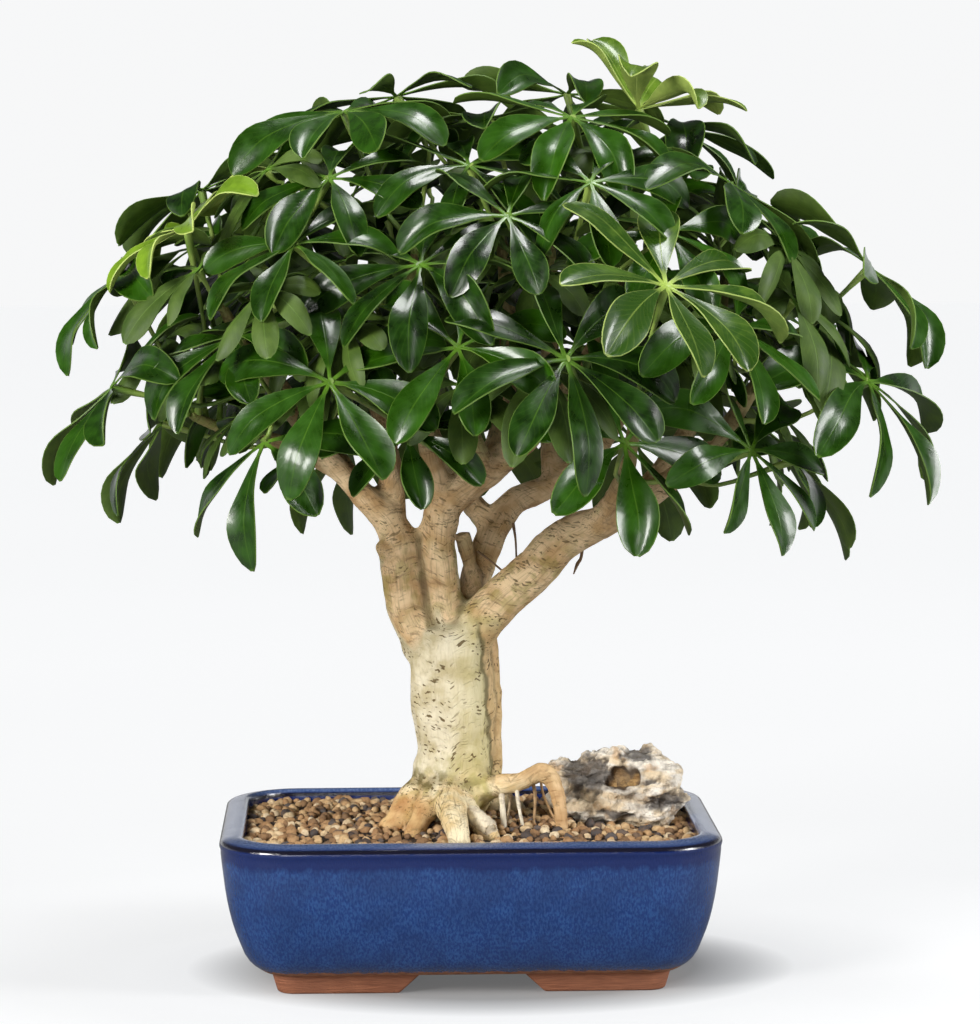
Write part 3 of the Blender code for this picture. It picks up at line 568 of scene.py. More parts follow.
clay = Finish("bare_clay")
where = clay.place()
strokes = clay.effect(mottle, clay.place((0.12, 0.12, 2.6)), 0.9, 6.0, 0.28, 0.72)
grit = clay.effect(flecks, where, 1.3, 0.22)
patches = clay.effect(mottle, where, 14.0, 3.0, 0.35, 0.7)
colour = clay.tinted(clay.blend(strokes, srgb(124, 74, 50), srgb(162, 104, 74)),
                     (patches, 0.5, srgb(136, 86, 62)), (grit, 0.5, srgb(108, 68, 50)))
clay.surface(Base_Color=colour, Roughness=clay.between(strokes, 0.0, 1.0, 0.7, 0.86),
             Normal=clay.bump(clay.plus(strokes, grit), 0.4, 0.00025))
feet = new_object("pot_feet", bm, clay.material, smooth_angle=45)
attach(feet, "root")
print("feet:", len(feet.data.polygons), "faces")

# %% Screens
plastic = Finish("screen_plastic")
scuffs = plastic.effect(mottle, plastic.place(), 2.0, 4.0, 0.3, 0.8)
plastic.surface(Base_Color=plastic.blend(scuffs, srgb(22, 22, 23), srgb(44, 44, 44)),
                Roughness=plastic.between(scuffs, 0.0, 1.0, 0.42, 0.6))
for name in ("drain_screen_left", "drain_screen_right"):
    low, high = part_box(name)
    bm = bmesh.new()
    bmesh.ops.create_grid(bm, x_segments=15, y_segments=15, size=0.5)
    bmesh.ops.scale(bm, verts=bm.verts, vec=(high.x - low.x, high.y - low.y, 1.0))
    bmesh.ops.translate(bm, verts=bm.verts, vec=(low + high) / 2)
    bmesh.ops.wireframe(bm, faces=bm.faces[:], thickness=0.6 * MM, use_replace=True, use_boundary=True)
    screen = new_object(name + "_mesh", bm, plastic.material)
    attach(screen, "root")
    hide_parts(name)
print("two screens woven")

# %% [markdown]
# ## Soil
#
# The soil is a mix of fired clay granules, three to five millimetres across: light tan, brown and a few
# grey ones. A texture on a flat face would give that away at the rim, where single granules stand
# against the glaze. So about three thousand are laid on the soil's own surface, from a few bevelled
# cubes whose corners are pushed about. They lie on the smooth solid, which stays below them as shade.

# %% Granule tools
def surface_of(node_name):
    """A search tree over a CAD node's faces."""
    mesh = frame["nodes"][node_name].data
    return BVHTree.FromPolygons([v.co for v in mesh.vertices], [tuple(p.vertices) for p in mesh.polygons])


def as_mesh(bm):
    """A loose mesh from a bmesh, which is then done with."""
    mesh = bpy.data.meshes.new("loose")
    bm.to_mesh(mesh)
    bm.free()
    return mesh


def pour(part, bm):
    """Put all of one bmesh into another."""
    mesh = as_mesh(part)
    bm.from_mesh(mesh)
    bpy.data.meshes.remove(mesh)


def even_out(bm, factor):
    bmesh.ops.smooth_vert(bm, verts=bm.verts, factor=factor,
                          use_axis_x=True, use_axis_y=True, use_axis_z=True)


def any_direction(chance):
    return Vector([chance.uniform(-1, 1) for _ in range(3)])


def pebble_kinds(count, seed):
    """A few small rough pebbles, each from a bevelled cube, one unit across."""
    chance = random.Random(seed)
    kinds = []
    for _ in range(count):
        bm = bmesh.new()
        bmesh.ops.create_cube(bm, size=0.92)
        for v in bm.verts:
            v.co += Vector([chance.uniform(-0.16, 0.16) for _ in range(3)])
        bmesh.ops.bevel(bm, geom=bm.edges[:], offset=0.27, segments=1, profile=0.5, material=-1,
                        affect="EDGES")
        even_out(bm, 0.35)
        kinds.append(as_mesh(bm))
    return kinds


def laid_copies(kinds, places):
    """A bmesh of many small copies. Each place is a kind, a matrix and a tone."""
    whole = bmesh.new()
    whole.verts.layers.float.new("tone")
    for start in range(0, len(places), 60):
        part = bmesh.new()
        tone_layer = part.verts.layers.float.new("tone")
        for kind, matrix, tone in places[start:start + 60]:
            before = len(part.verts)
            part.from_mesh(kinds[kind])
            part.verts.ensure_lookup_table()
            fresh = part.verts[before:]
            bmesh.ops.transform(part, matrix=matrix, verts=fresh)
            for v in fresh:
                v[tone_layer] = tone
        pour(part, whole)
    return whole


kinds = pebble_kinds(8, 11)
print("granule kinds:", len(kinds), "with", len(kinds[0].polygons), "faces each")

# %% Granules
# Each layer has the step between its granules and how far they stand out of the soil.
GRANULE_LAYERS = ((3.5 * MM, -1.2 * MM), (4.2 * MM, 0.7 * MM))
GRANULE_SIZES = (3.2, 3.7, 4.1, 4.6, 5.2)
MARGIN = 2 * MM
soil_tree = surface_of("soil")
blockers = [surface_of(n) for n in ("trunk", "stone")]
soil_low, soil_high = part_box("soil")
chance = random.Random(4)


def grid_spots(pitch):
    """Shaken places of a grid over the soil, high above it."""
    x = soil_low.x - MARGIN
    while x < soil_high.x + MARGIN:
        y = soil_low.y - MARGIN
        while y < soil_high.y + MARGIN:
            shake_x = chance.uniform(-0.45, 0.45) * pitch
            yield Vector((x + shake_x, y + chance.uniform(-0.45, 0.45) * pitch, 0.2))
            y += pitch
        x += pitch


def granule_at(spot, layer, rise):
    """A granule's kind, matrix and tone, or nothing where it would be out of place."""
    hit = soil_tree.ray_cast(spot, Vector((0, 0, -1)))[0]
    if hit is None or hit.z < POT_TOP - 9 * MM:
        return None
    size = chance.choice(GRANULE_SIZES) * MM * chance.uniform(0.9, 1.1)
    centre = hit + Vector((0, 0, rise - 0.1 * size))
    if layer and chance.random() < 0.2:
        return None
    if any(b.find_nearest(centre, size * 0.33)[0] is not None for b in blockers):
        return None
    turn = Matrix.Rotation(chance.uniform(0, 6.28), 4, any_direction(chance))
    long, flat = chance.uniform(0.95, 1.35), chance.uniform(0.75, 1.0)
    stretch = Matrix.Diagonal((size * long, size, size * flat, 1.0))
    return chance.randrange(8), Matrix.Translation(centre) @ turn @ stretch, chance.random()


places = []
for layer, (pitch, rise) in enumerate(GRANULE_LAYERS):
    tried = [granule_at(spot, layer, rise) for spot in grid_spots(pitch)]
    places += [place for place in tried if place]
print("granules placed:", len(places))

# %% Granule finish and pieces
granule = Finish("fired_granules")
where = granule.place()
colour = granule.ramp(granule.own("tone"), (0.0, srgb(56, 50, 50)), (0.1, srgb(88, 84, 84)),
                      (0.17, srgb(120, 92, 64)), (0.4, srgb(160, 122, 82)), (0.6, srgb(188, 150, 106)),
                      (0.8, srgb(212, 180, 134)), (1.0, srgb(226, 206, 172)))
dusty = granule.effect(mottle, where, 1.3, 4.0, 0.35, 0.7)
pores = granule.effect(flecks, where, 0.7, 0.3)
colour = granule.tinted(colour, (dusty, 0.35, srgb(120, 92, 68)), (pores, 0.4, srgb(70, 52, 40)))
granule.surface(Base_Color=colour, Roughness=granule.between(dusty, 0.0, 1.0, 0.75, 0.95),
                Normal=granule.bump(granule.minus(dusty, pores), 0.5, 0.0003))
across = sorted(place[1].translation.x for place in places)
cuts = [-math.inf, across[len(across) // 3], across[2 * len(across) // 3], math.inf]
for label, low, high in zip(("left", "middle", "right"), cuts, cuts[1:]):
    chosen = [place for place in places if low <= place[1].translation.x < high]
    part = new_object("soil_granules_" + label, laid_copies(kinds, chosen), granule.material)
    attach(part, "root")
print("granules:", len(places))

# %% Soil bed
# The bed under the granules is painted dark brown, as the shade in the gaps between them, and darker still in
# patches.
bed = Finish("soil_bed")
lumps = bed.effect(flecks, bed.place(), 3.6, 0.6)
darker_patches = bed.effect(mottle, bed.place(), 8.0, 4.0, 0.35, 0.65)
colour = bed.tinted(bed.blend(lumps, srgb(40, 30, 24), srgb(92, 68, 50)), (darker_patches, 0.5, srgb(48, 38, 32)))
bed.surface(Base_Color=colour, Roughness=bed.between(darker_patches, 0.0, 1.0, 0.95, 0.8),
            Normal=bed.bump(lumps, 1.0, 0.0015))
frame["nodes"]["soil"].data.materials.clear()
frame["nodes"]["soil"].data.materials.append(bed.material)
print("soil bed finished")

# %% [markdown]
# ## Stone
#
# The stone is weathered limestone in layers: cream and tan bands with dark slate between them, pitted
# and worn. The measured stone gives its outline. A copy of it is remeshed finely, and its surface is
# pushed in and out: in steps along the layers, and in small pits. Slate and one hollow are set in place
# as tilted ovals with ragged edges, and the colours read the same ovals from the mesh.

# %% Fine copies of measured pieces
def remeshed_copy(node_name, voxel):
    """A finely remeshed and evened copy of a CAD node, in a bmesh."""
    bm = bmesh.new()
    bm.from_mesh(frame["nodes"][node_name].data)
    bmesh.ops.remove_doubles(bm, verts=bm.verts, dist=1e-5)
    rough = new_object(node_name + "_rough", bm)
    tool = rough.modifiers.new("remesh", "REMESH")
    tool.mode = "VOXEL"
    tool.voxel_size = voxel
    bm = bmesh.new()
    bm.from_mesh(as_shown(rough))
    bpy.data.objects.remove(rough)
    even_out(bm, 0.5)
    even_out(bm, 0.5)
    bm.normal_update()
    return bm


def held(value):
    """A value kept from 0 to 1."""
    return max(0.0, min(1.0, value))


stone_low, stone_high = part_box("stone")
bm = remeshed_copy("stone", 0.75 * MM)
print("fine stone:", len(bm.faces), "faces")


# %% Stone relief
def on_stone(*shares):
    """A point of the stone's box, by shares from its left, its front and its bottom, in millimetres."""
    return Vector([1000 * (low + share * (high - low))
                   for low, high, share in zip(stone_low, stone_high, shares)])


# Each oval is a point, a reach and a tilt.
SLATE = [(on_stone(0.27, 0.3, 0.73), Vector((11.5, 34, 10)), 0.25),
         (on_stone(0.82, 0.2, 0.47), Vector((10.5, 30, 4.2)), 0.22),
         (on_stone(0.49, 0.1, 0.31), Vector((9, 24, 3.0)), -0.25),
         (on_stone(0.68, 0.3, 0.68), Vector((4.2, 24, 1.3)), 0.15),
         (on_stone(0.62, 0.4, 0.93), Vector((8, 30, 2.6)), 0.1)]
HOLLOW = (on_stone(0.51, 0.2, 0.70), Vector((7.6, 34, 4.6)), 0.35)
LAYERS = Vector((-0.42, 0.25, 0.88)).normalized()
LAYER_STEP = 8.5


def inside(point, spot, ragged):
    """One inside a tilted oval, zero outside it."""
    middle, reach, tilt = spot
    off = Matrix.Rotation(tilt, 3, "Y") @ (point - middle)
    away = Vector([a / r for a, r in zip(off, reach)]).length
    return held(3.4 * (1.0 - away + ragged))


noise.seed_set(7)  # without a seed, noise_vector would differ from run to run
groove_shade_layer = bm.verts.layers.float.new("hollow")
slate_layer = bm.verts.layers.float.new("slate")
oval_layer = bm.verts.layers.float.new("oval")
moves = []
for v in bm.verts:
    p = v.co * 1000
    warp = noise.noise_vector(p * 0.07) * 5 + noise.noise_vector(p * 0.2) * 1.6
    level = (p + warp).dot(LAYERS)
    ledge = abs((level / LAYER_STEP) % 1.0 - 0.5) * 2
    groove = max(0.0, 1 - ledge * 4.0)
    crag = noise.fractal(p * 0.13, 1.0, 2.0, 5)
    pits = max(0.0, noise.noise(p * 0.33 + Vector((9, 2, 4))) - 0.12) * 3.0
    facet = abs(noise.noise(p * 0.11 + Vector((4, 4, 4)))) * 2.4
    ragged = 0.4 * noise.noise(p * 0.22) + 0.3 * noise.noise(p * 0.7)
    slate = max(inside(p, spot, ragged) for spot in SLATE)
    oval = inside(p, HOLLOW, 0.35 * noise.noise(p * 0.3))
    push = (1.5 * crag - 1.5 * groove * (0.4 + noise.noise(p * 0.05)) - 0.9 * pits + facet - 0.9
            - 1.5 * slate - 3.6 * oval)
    # Painted shade: this number is high in grooves and pits and low on knobs, and darkens the stone's colour
    # there.
    v[groove_shade_layer] = held(0.75 * groove + 0.5 * pits - 0.25 * crag)
    v[slate_layer] = slate
    v[oval_layer] = oval
    moves.append(v.normal * push * MM)
for v, move in zip(bm.verts, moves):
    v.co += move
    v.co.z = min(v.co.z, stone_high.z)
print("stone carved, up to", round(1000 * max(m.length for m in moves), 1), "mm")

# %% Stone finish
rock = Finish("layered_stone")
where = rock.place(turn=(0.25, -0.42, 0.1))
bands = rock.effect(mottle, rock.place((0.3, 0.3, 1.0), (0.28, -0.45, 0.2)), 5.5, 4.0, 0.42, 0.56)
greys = rock.effect(mottle, rock.place((0.4, 0.5, 1.0), (0.28, -0.6, 0.0)), 13.0, 3.0, 0.535, 0.575)
veiny = rock.effect(mottle, rock.place((0.4, 0.5, 1.4), (0.28, -0.6, 0.0)), 2.2, 4.0, 0.45, 0.6)
rusty = rock.effect(mottle, where, 9.0, 3.0, 0.56, 0.68)
grain = rock.effect(mottle, where, 0.9, 5.0, 0.3, 0.7)
oval = rock.own("oval")
slate_colour = rock.blend(veiny, srgb(50, 48, 50), srgb(104, 100, 98))
hollow_colour = rock.blend(veiny, srgb(140, 104, 56), srgb(186, 150, 96))
# Painted shade: a dark brown band on the hollow's sunken wall, and darker grooves and pits.
colour = rock.tinted(rock.blend(bands, srgb(232, 212, 180), srgb(252, 244, 230)),
                     (rusty, 0.7, srgb(206, 164, 112)), (greys, 0.4, srgb(150, 142, 134)),
                     (rock.own("slate"), 0.88, slate_colour),
                     (rock.between(oval, 0.0, 0.35), 1.0, srgb(74, 58, 42)),
                     (rock.between(oval, 0.6, 1.0), 1.0, hollow_colour),
                     (rock.own("hollow"), 0.6, srgb(100, 86, 72)), (grain, 0.16, srgb(96, 84, 70)))
rock.surface(Base_Color=colour, Roughness=rock.between(grain, 0.0, 1.0, 0.7, 0.92),
             Normal=rock.bump(grain, 0.7, 0.0006))
stone = new_object("weathered_stone", bm, rock.material)
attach(stone, "root")
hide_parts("stone")
print("stone:", len(stone.data.polygons), "faces")

# %% [markdown]
# ## Trunk, limbs and roots
#
# All the wood grew as one piece. A texture that runs straight through space would cut across the limbs,
# so each point of the wood first learns where it is on the tree: how far it has grown from the roots
# (growth), how thick the wood is there (girth), and which way round the limb it faces (around). Bark is
# then drawn from these: lines along the limbs, ring scars across them, and dashes where it breathes.
# Points in creases are marked as well, and the bark is painted darker there as shade.

# %% Wood
bm = remeshed_copy("trunk", 1.15 * MM)
wood_tree = BVHTree.FromBMesh(bm)
bm.verts.ensure_lookup_table()
count = len(bm.verts)
growth = [math.inf] * count
queue = [(0.0, v.index) for v in bm.verts if v.co.z < POT_TOP - 9 * MM]
for start, index in queue:
    growth[index] = start
heapq.heapify(queue)
while queue:
    far, index = heapq.heappop(queue)
    if far > growth[index]:
        continue
    here = bm.verts[index]
    for edge in here.link_edges:
        other = edge.other_vert(here)
        reach = far + (other.co - here.co).length
        if reach < growth[other.index]:
            growth[other.index] = reach
            heapq.heappush(queue, (reach, other.index))
girth = []
for v in bm.verts:
    distance = wood_tree.ray_cast(v.co - v.normal * 0.4 * MM, -v.normal)[3]
    girth.append(min(20 * MM, (distance or 0.0) / 2))
print("wood:", count, "points, grown up to", round(1000 * max(growth)), "mm from the soil")


# %% What each point of the wood knows
def evened(values, rounds):
    """Each value becomes more like its neighbours' values."""
    links = [[e.other_vert(v).index for e in v.link_edges] for v in bm.verts]
    for _ in range(rounds):
        values = [0.4 * values[i] + 0.6 * sum((values[j] for j in near), values[0] * 0) / len(near)
                  for i, near in enumerate(links)]
    return values


creases = []
for v in bm.verts:
    near = [e.other_vert(v).co for e in v.link_edges]
    creases.append(v.normal.dot(sum(near, Vector()) / len(near) - v.co) * 1000)
creases = evened(creases, 5)
girth = evened(girth, 8)
facing = evened([v.normal.copy() for v in bm.verts], 6)
growth_layer = bm.verts.layers.float.new("growth")
girth_layer = bm.verts.layers.float.new("girth")
crease_shade_layer = bm.verts.layers.float.new("crease_shade")
around_layer = bm.verts.layers.float_vector.new("around")
for v in bm.verts:
    v[growth_layer] = growth[v.index] * 1000
    # Painted shade: the deeper a point lies in the creases, the darker its bark is painted.
    v[crease_shade_layer] = held((creases[v.index] - 0.012) / 0.045)
    v[girth_layer] = girth[v.index] * 1000
    v[around_layer] = facing[v.index].normalized() * min(14.0, max(1.5, girth[v.index] * 1000))
print("thickest wood:", round(2000 * max(girth)), "mm")

# %% Bark relief
MIDDLE_X = POT_MIDDLE.x * 1000
FURROW_TOP = 134.0
FURROW_X = 5.2
FURROW_LEAN = 0.0815
FURROW_HALF = 2.2
FURROW_DEPTH = 1.1


def past_furrow(x, z):
    """How far a point lies right of the furrow between trunk and side stem, in millimetres."""
    return x - MIDDLE_X - FURROW_X - (FURROW_TOP - z) * FURROW_LEAN


for v in bm.verts:
    p = v.co * 1000
    past = abs(past_furrow(p.x, p.z) + 1.2 * noise.noise(p * 0.12))
    if 76 < p.z < 146 and past < FURROW_HALF and v.normal.y < 0.2:
        v.co -= v.normal * FURROW_DEPTH * MM * (1 - past / FURROW_HALF)
    thick = v[girth_layer]
    g = v[growth_layer]
    limb = held((13.0 - thick) / 5.0)
    swell = noise.noise(Vector((g * 0.10, p.x * 0.02, thick * 0.1))) * 0.5
    ring = max(0.0, noise.noise(Vector((g * 0.42, p.x * 0.03, p.y * 0.03))) - 0.15) * limb
    knots = max(0.0, noise.noise(p * 0.09 + Vector((3, 1, 7))) - 0.28) * 2.6
    lumps = noise.noise(p * 0.22) * 0.22
    v.co += v.normal * (swell + lumps + knots - 0.55 * ring) * MM * min(1.0, thick / 5.0)
print("bark relief made")

# %% Bark pattern
bark = Finish("pale_bark")
girth_here = bark.own("girth")
around = bark.node("Attribute", attribute_name="around").outputs["Vector"]
where = bark.place()
across = bark.axis(where, "X")
height = bark.axis(where, "Z")


def bark_noise(round_limb, along, detail):
    """A noise that follows the limbs: its size round them and its size along them, in millimetres."""
    made = bark.node("TexNoise", noise_dimensions="4D")
    scaled = bark.node("VectorMath", around, operation="SCALE")
    scaled.inputs["Scale"].default_value = 1 / round_limb
    bark.join(scaled.outputs[0], made.inputs["Vector"])
    bark.join(bark.maths("DIVIDE", bark.own("growth"), along), made.inputs["W"])
    made.inputs["Scale"].default_value = 1.0
    made.inputs["Detail"].default_value = detail
    return made.outputs[0]


strands = bark_noise(0.55, 14.0, 4.0)
cracks = bark.between(bark_noise(5.5, 1.2, 3.0), 0.56, 0.68)
dashes = bark.times(bark.between(bark_noise(1.8, 1.0, 0.0), 0.645, 0.685),
                    bark.between(bark_noise(13.0, 8.0, 2.0), 0.44, 0.52))
cloudy = bark.effect(mottle, where, 9.0, 4.0, 0.35, 0.68)
mossy = bark.effect(mottle, where, 5.0, 5.0, 0.44, 0.62)
limb = bark.between(girth_here, 14.0, 9.5)
stout = bark.between(girth_here, 8.5, 11.5)
print("bark pattern drawn:", len(bark.tree.nodes), "nodes")


# %% Bark colour by height and thickness
def cloud(first, second):
    """Two colours that lie beside each other in clouds."""
    return bark.blend(cloudy, srgb(*first), srgb(*second))


trunk_tone = cloud((226, 216, 188), (186, 172, 132))
limb_tone = cloud((234, 206, 162), (196, 158, 108))
colour = bark.blend(limb, trunk_tone, limb_tone)
root_share = bark.between(height, RIM_HEIGHT + 22, RIM_HEIGHT + 12)
colour = bark.blend(root_share, colour, cloud((240, 226, 190), (220, 192, 138)))
moss_zone = bark.maths("MAXIMUM", bark.between(height, RIM_HEIGHT + 36, RIM_HEIGHT + 14),
                       bark.between(bark.apart(height, RIM_HEIGHT + 98), 26, 6))
moss = bark.times(mossy, moss_zone, bark.between(girth_here, 5.0, 9.0))
twig = bark.times(bark.between(girth_here, 4.2, 2.2), bark.between(height, 150, 200))
lines = bark.times(bark.between(strands, 0.5, 0.7), bark.plus(0.18, bark.times(limb, 0.32)))
uneven_height = bark.plus(height, bark.times(cloudy, 4.0))
ring = bark.between(bark.apart(uneven_height, RIM_HEIGHT + 17.5), 3.2, 0.8)
ring = bark.times(ring, bark.between(mossy, -0.4, 0.3), stout)
# Painted shade: the trunk's right side, away from the main light, is painted a darker yellow-olive.
right_side_shade = bark.times(bark.between(across, MIDDLE_X - 9, MIDDLE_X + 6), stout)
colour = bark.tinted(colour, (moss, 0.55, srgb(142, 134, 48)),
                     (twig, 1.0, cloud((120, 128, 62), (150, 132, 84))),
                     (lines, 1.0, srgb(120, 92, 58)), (bark.times(cracks, limb), 0.5, srgb(112, 82, 52)),
                     (ring, 0.8, srgb(96, 84, 34)), (right_side_shade, 0.5, srgb(196, 184, 112)))
print("bark coloured")

# %% Bark colour in places of its own
right_of = bark.minus(across, MIDDLE_X + FURROW_X + FURROW_TOP * FURROW_LEAN)
right_of = bark.plus(right_of, bark.times(height, FURROW_LEAN))
right_of = bark.plus(right_of, bark.times(bark.minus(cloudy, 0.5), 2.2))
reach = bark.times(bark.between(height, 77, 82), bark.between(height, 146, 138))
strand = bark.times(bark.between(right_of, 0.0, 1.0), reach)
# Painted shade: a dark olive line along the furrow between the trunk and the side stem.
furrow = bark.times(bark.between(bark.maths("ABSOLUTE", right_of), 1.5, 0.4), reach)
left_root = bark.times(bark.between(height, RIM_HEIGHT + 13, RIM_HEIGHT + 8),
                       bark.between(across, MIDDLE_X - 13, MIDDLE_X - 20))
outer_leg = bark.times(bark.between(height, RIM_HEIGHT + 19, RIM_HEIGHT + 13),
                       bark.between(across, MIDDLE_X + 28, MIDDLE_X + 32))
strand_colour = bark.blend(mossy, srgb(206, 172, 124), srgb(176, 138, 90))
colour = bark.tinted(colour, (strand, 0.75, strand_colour), (furrow, 0.8, srgb(88, 76, 34)),
                     (left_root, 0.75, cloud((222, 178, 110), (176, 118, 62))),
                     (outer_leg, 0.8, cloud((206, 164, 112), (170, 126, 80))),
                     # Painted shade: the bark is painted dark olive-brown in its creases.
                     (bark.own("crease_shade"), 0.75, cloud((104, 92, 44), (86, 66, 40))),
                     (dashes, bark.between(girth_here, 3.5, 10.0, 0.35, 0.92), srgb(92, 72, 30)))
relief = bark.minus(strands, bark.plus(cracks, dashes))
bark.surface(Base_Color=colour, Roughness=bark.between(strands, 0.3, 0.7, 0.62, 0.8),
             Normal=bark.bump(relief, 0.55, 0.0006))
wood = new_object("trunk_limbs_and_roots", bm, bark.material)
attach(wood, "root")
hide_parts("trunk")
print("bark:", len(wood.data.polygons), "faces")

# %% [markdown]
# ## Rootlets, a cut stub and dry twigs
#
# Thin pale roots hang from the arched root into the soil, and the stub of a root that was cut away lies
# beside the front one. Two dry brown roots hang in the fork, and a dry twig hangs under the right limb.
# Each is a round stem drawn along a few points: a circle is extruded from point to point, and both of
# its ends are closed.

# %% Stem tools
def stem_into(bm, path, radii, sides, tone, index=0):
    """A round stem along a path: a circle, extruded from point to point."""
    part = bmesh.new()
    turn = None
    for i, (point, radius) in enumerate(zip(path, radii)):
        along = (path[min(i + 1, len(path) - 1)] - path[max(i - 1, 0)]).normalized()
        if turn is None:
            turn = Vector((0, 0, 1)).rotation_difference(along)
        else:
            turn = last_along.rotation_difference(along) @ turn
        last_along = along
        size = Matrix.Diagonal((radius, radius, radius, 1.0))
        place = Matrix.Translation(point) @ turn.to_matrix().to_4x4() @ size
        if i == 0:
            bmesh.ops.create_circle(part, segments=sides, radius=1.0, matrix=place)
            first = ring = part.edges[:]
        else:
            ring, fresh = extruded(part, ring)
            bmesh.ops.transform(part, matrix=place @ last_place.inverted(), verts=fresh)
        last_place = place
    close_ends(part, first, ring)
    tones = part.verts.layers.float.new("tone")
    for v in part.verts:
        v[tones] = tone
    for face in part.faces:
        face.material_index = index
    pour(part, bm)


def smooth_line(points, count):
    """Points evenly spread on a smooth line through the given ones."""
    ends = [points[0] * 2 - points[1]] + list(points) + [points[-1] * 2 - points[-2]]
    line = []
    for k in range(count):
        s = k / (count - 1) * (len(points) - 1)
        i = min(int(s), len(points) - 2)
        t = s - i
        a, b, c, d = ends[i:i + 4]
        line.append(0.5 * ((2 * b) + (c - a) * t + (2 * a - 5 * b + 4 * c - d) * t * t
                           + (3 * b - a - 3 * c + d) * t ** 3))
    return line


print("stem tools ready")

# %% Small wood
pale_root = Finish("pale_rootlet")
hairs = pale_root.effect(mottle, pale_root.place((1, 1, 0.2)), 0.8, 4.0, 0.3, 0.7)
rings = pale_root.effect(mottle, pale_root.place((0.3, 0.3, 1)), 1.6, 3.0, 0.5, 0.62)
colour = pale_root.ramp(pale_root.own("tone"), (0.0, srgb(74, 52, 36)), (0.4, srgb(176, 140, 96)),
                        (0.8, srgb(228, 214, 184)), (1.0, srgb(240, 232, 212)))
colour = pale_root.tinted(colour, (hairs, 0.25, srgb(150, 120, 80)), (rings, 0.3, srgb(96, 70, 44)))
pale_root.surface(Base_Color=colour, Roughness=pale_root.between(hairs, 0.0, 1.0, 0.6, 0.8),
                  Normal=pale_root.bump(pale_root.minus(hairs, rings), 0.5, 0.0003))
# Each has points from the pot's middle and widths along it in millimetres, its sides and its tone.
SMALL_WOOD = {
    "rootlet_1": ([(13, -14, 79), (13.5, -15, 70), (14.5, -16, 57)], (3.2, 2.2, 2.6), 10, 0.95),
    "rootlet_2": ([(19, -15, 80), (20, -16.5, 70), (22.5, -18, 57)], (2.2, 1.6, 1.3), 8, 0.98),
    "rootlet_3": ([(25, -14, 82), (27, -13, 72), (26, -12, 57)], (1.8, 1.3, 1.2), 8, 0.45),
    "rootlet_4": ([(29, -15, 83), (30, -11, 74), (33, -9, 66), (38, -12, 57)], (1.3, 1.1, 0.9), 8, 0.35),
    "rootlet_5": ([(16, -12, 80), (17, -10, 70), (15, -8, 57)], (1.6, 1.2, 1.1), 8, 0.6),
    "cut_root_stub": ([(-2, -24, 68), (2, -30, 67), (7.5, -37, 63.5), (8.2, -38, 63.0)],
                      (6.6, 7.0, 6.6, 4.2), 14, 0.9),
    "dry_root_1": ([(19, 4, 182), (20, 3, 175), (20.3, 2, 166)], (1.4, 0.9, 0.7), 8, 0.02),
    "dry_root_2": ([(4.5, 3, 170.5), (10, 1, 166.5), (16.5, -1, 161)], (1.0, 0.8, 0.9), 8, 0.05),
    "dry_twig": ([(47, -5, 176), (46.2, -7, 169), (44.5, -8, 166), (43, -8, 162)],
                 (1.8, 1.3, 1.5, 0.5), 8, 0.08)}
for name, (path, widths, sides, tone) in SMALL_WOOD.items():
    bm = bmesh.new()
    count = 4 * len(path)
    line = smooth_line([POT_MIDDLE + Vector(p) * MM for p in path], count)
    chance = random.Random(name)
    evenly = np.interp(np.linspace(0, 1, count), np.linspace(0, 1, len(widths)), widths)
    radii = [MM * float(width) / 2 * chance.uniform(0.92, 1.08) for width in evenly]
    stem_into(bm, line, radii, sides, tone)
    made = new_object(name, bm, pale_root.material, smooth_angle=60)
    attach(made, "root")
print("small wood made:", len(SMALL_WOOD))

# %% [markdown]
# ## Leaves
#
# Each leaf is compound. A stalk carries a hub, and seven or eight leaflets spread from the hub on short
# stems of their own. A leaflet is long and broadest past its middle, with a blunt tip. It is folded a
# little along its midrib, and it arches down under its weight. The measured leaf gives each one's hub,
# its leaflets' middle lines and its stalk. A flat grid is bent onto each middle line and is then given
# a real thickness, which keeps the leaflet one closed sheet with its own underside.

# %% Reading a measured leaf
def middle_of(points):
    return sum(points, Vector()) / len(points)


def search_tree(points):
    tree = KDTree(len(points))
    for index, point in enumerate(points):
        tree.insert(point, index)
    tree.balance()
    return tree


def joined_groups(bm, left):
    """The points in each loose part of a mesh, of the ones whose numbers are given."""
    groups = []
    while left:
        todo = [left.pop()]
        group = set(todo)
        while todo:
            for edge in bm.verts[todo.pop()].link_edges:
                for v in edge.verts:
                    if v.index in left:
                        left.discard(v.index)
                        group.add(v.index)
                        todo.append(v.index)
        groups.append([bm.verts[i].co.copy() for i in group])
    return groups


def read_leaflet(group, hub, facing):
    """A leaflet's near, middle and far points, its side and its width, from its nine CAD corners."""
    near, broad, end = group[:4], group[4:8], group[8]
    middle = middle_of(broad)
    pair = max(((a, b) for a in broad for b in broad), key=lambda ab: (ab[0] - ab[1]).length)
    along = (end - middle).normalized()
    side = pair[0] - pair[1]
    width = side.length
    side = (side - along * side.dot(along)).normalized()
    if side.cross(along).dot(facing) > 0:
        side = -side
    return middle_of(near), middle, end, side, width


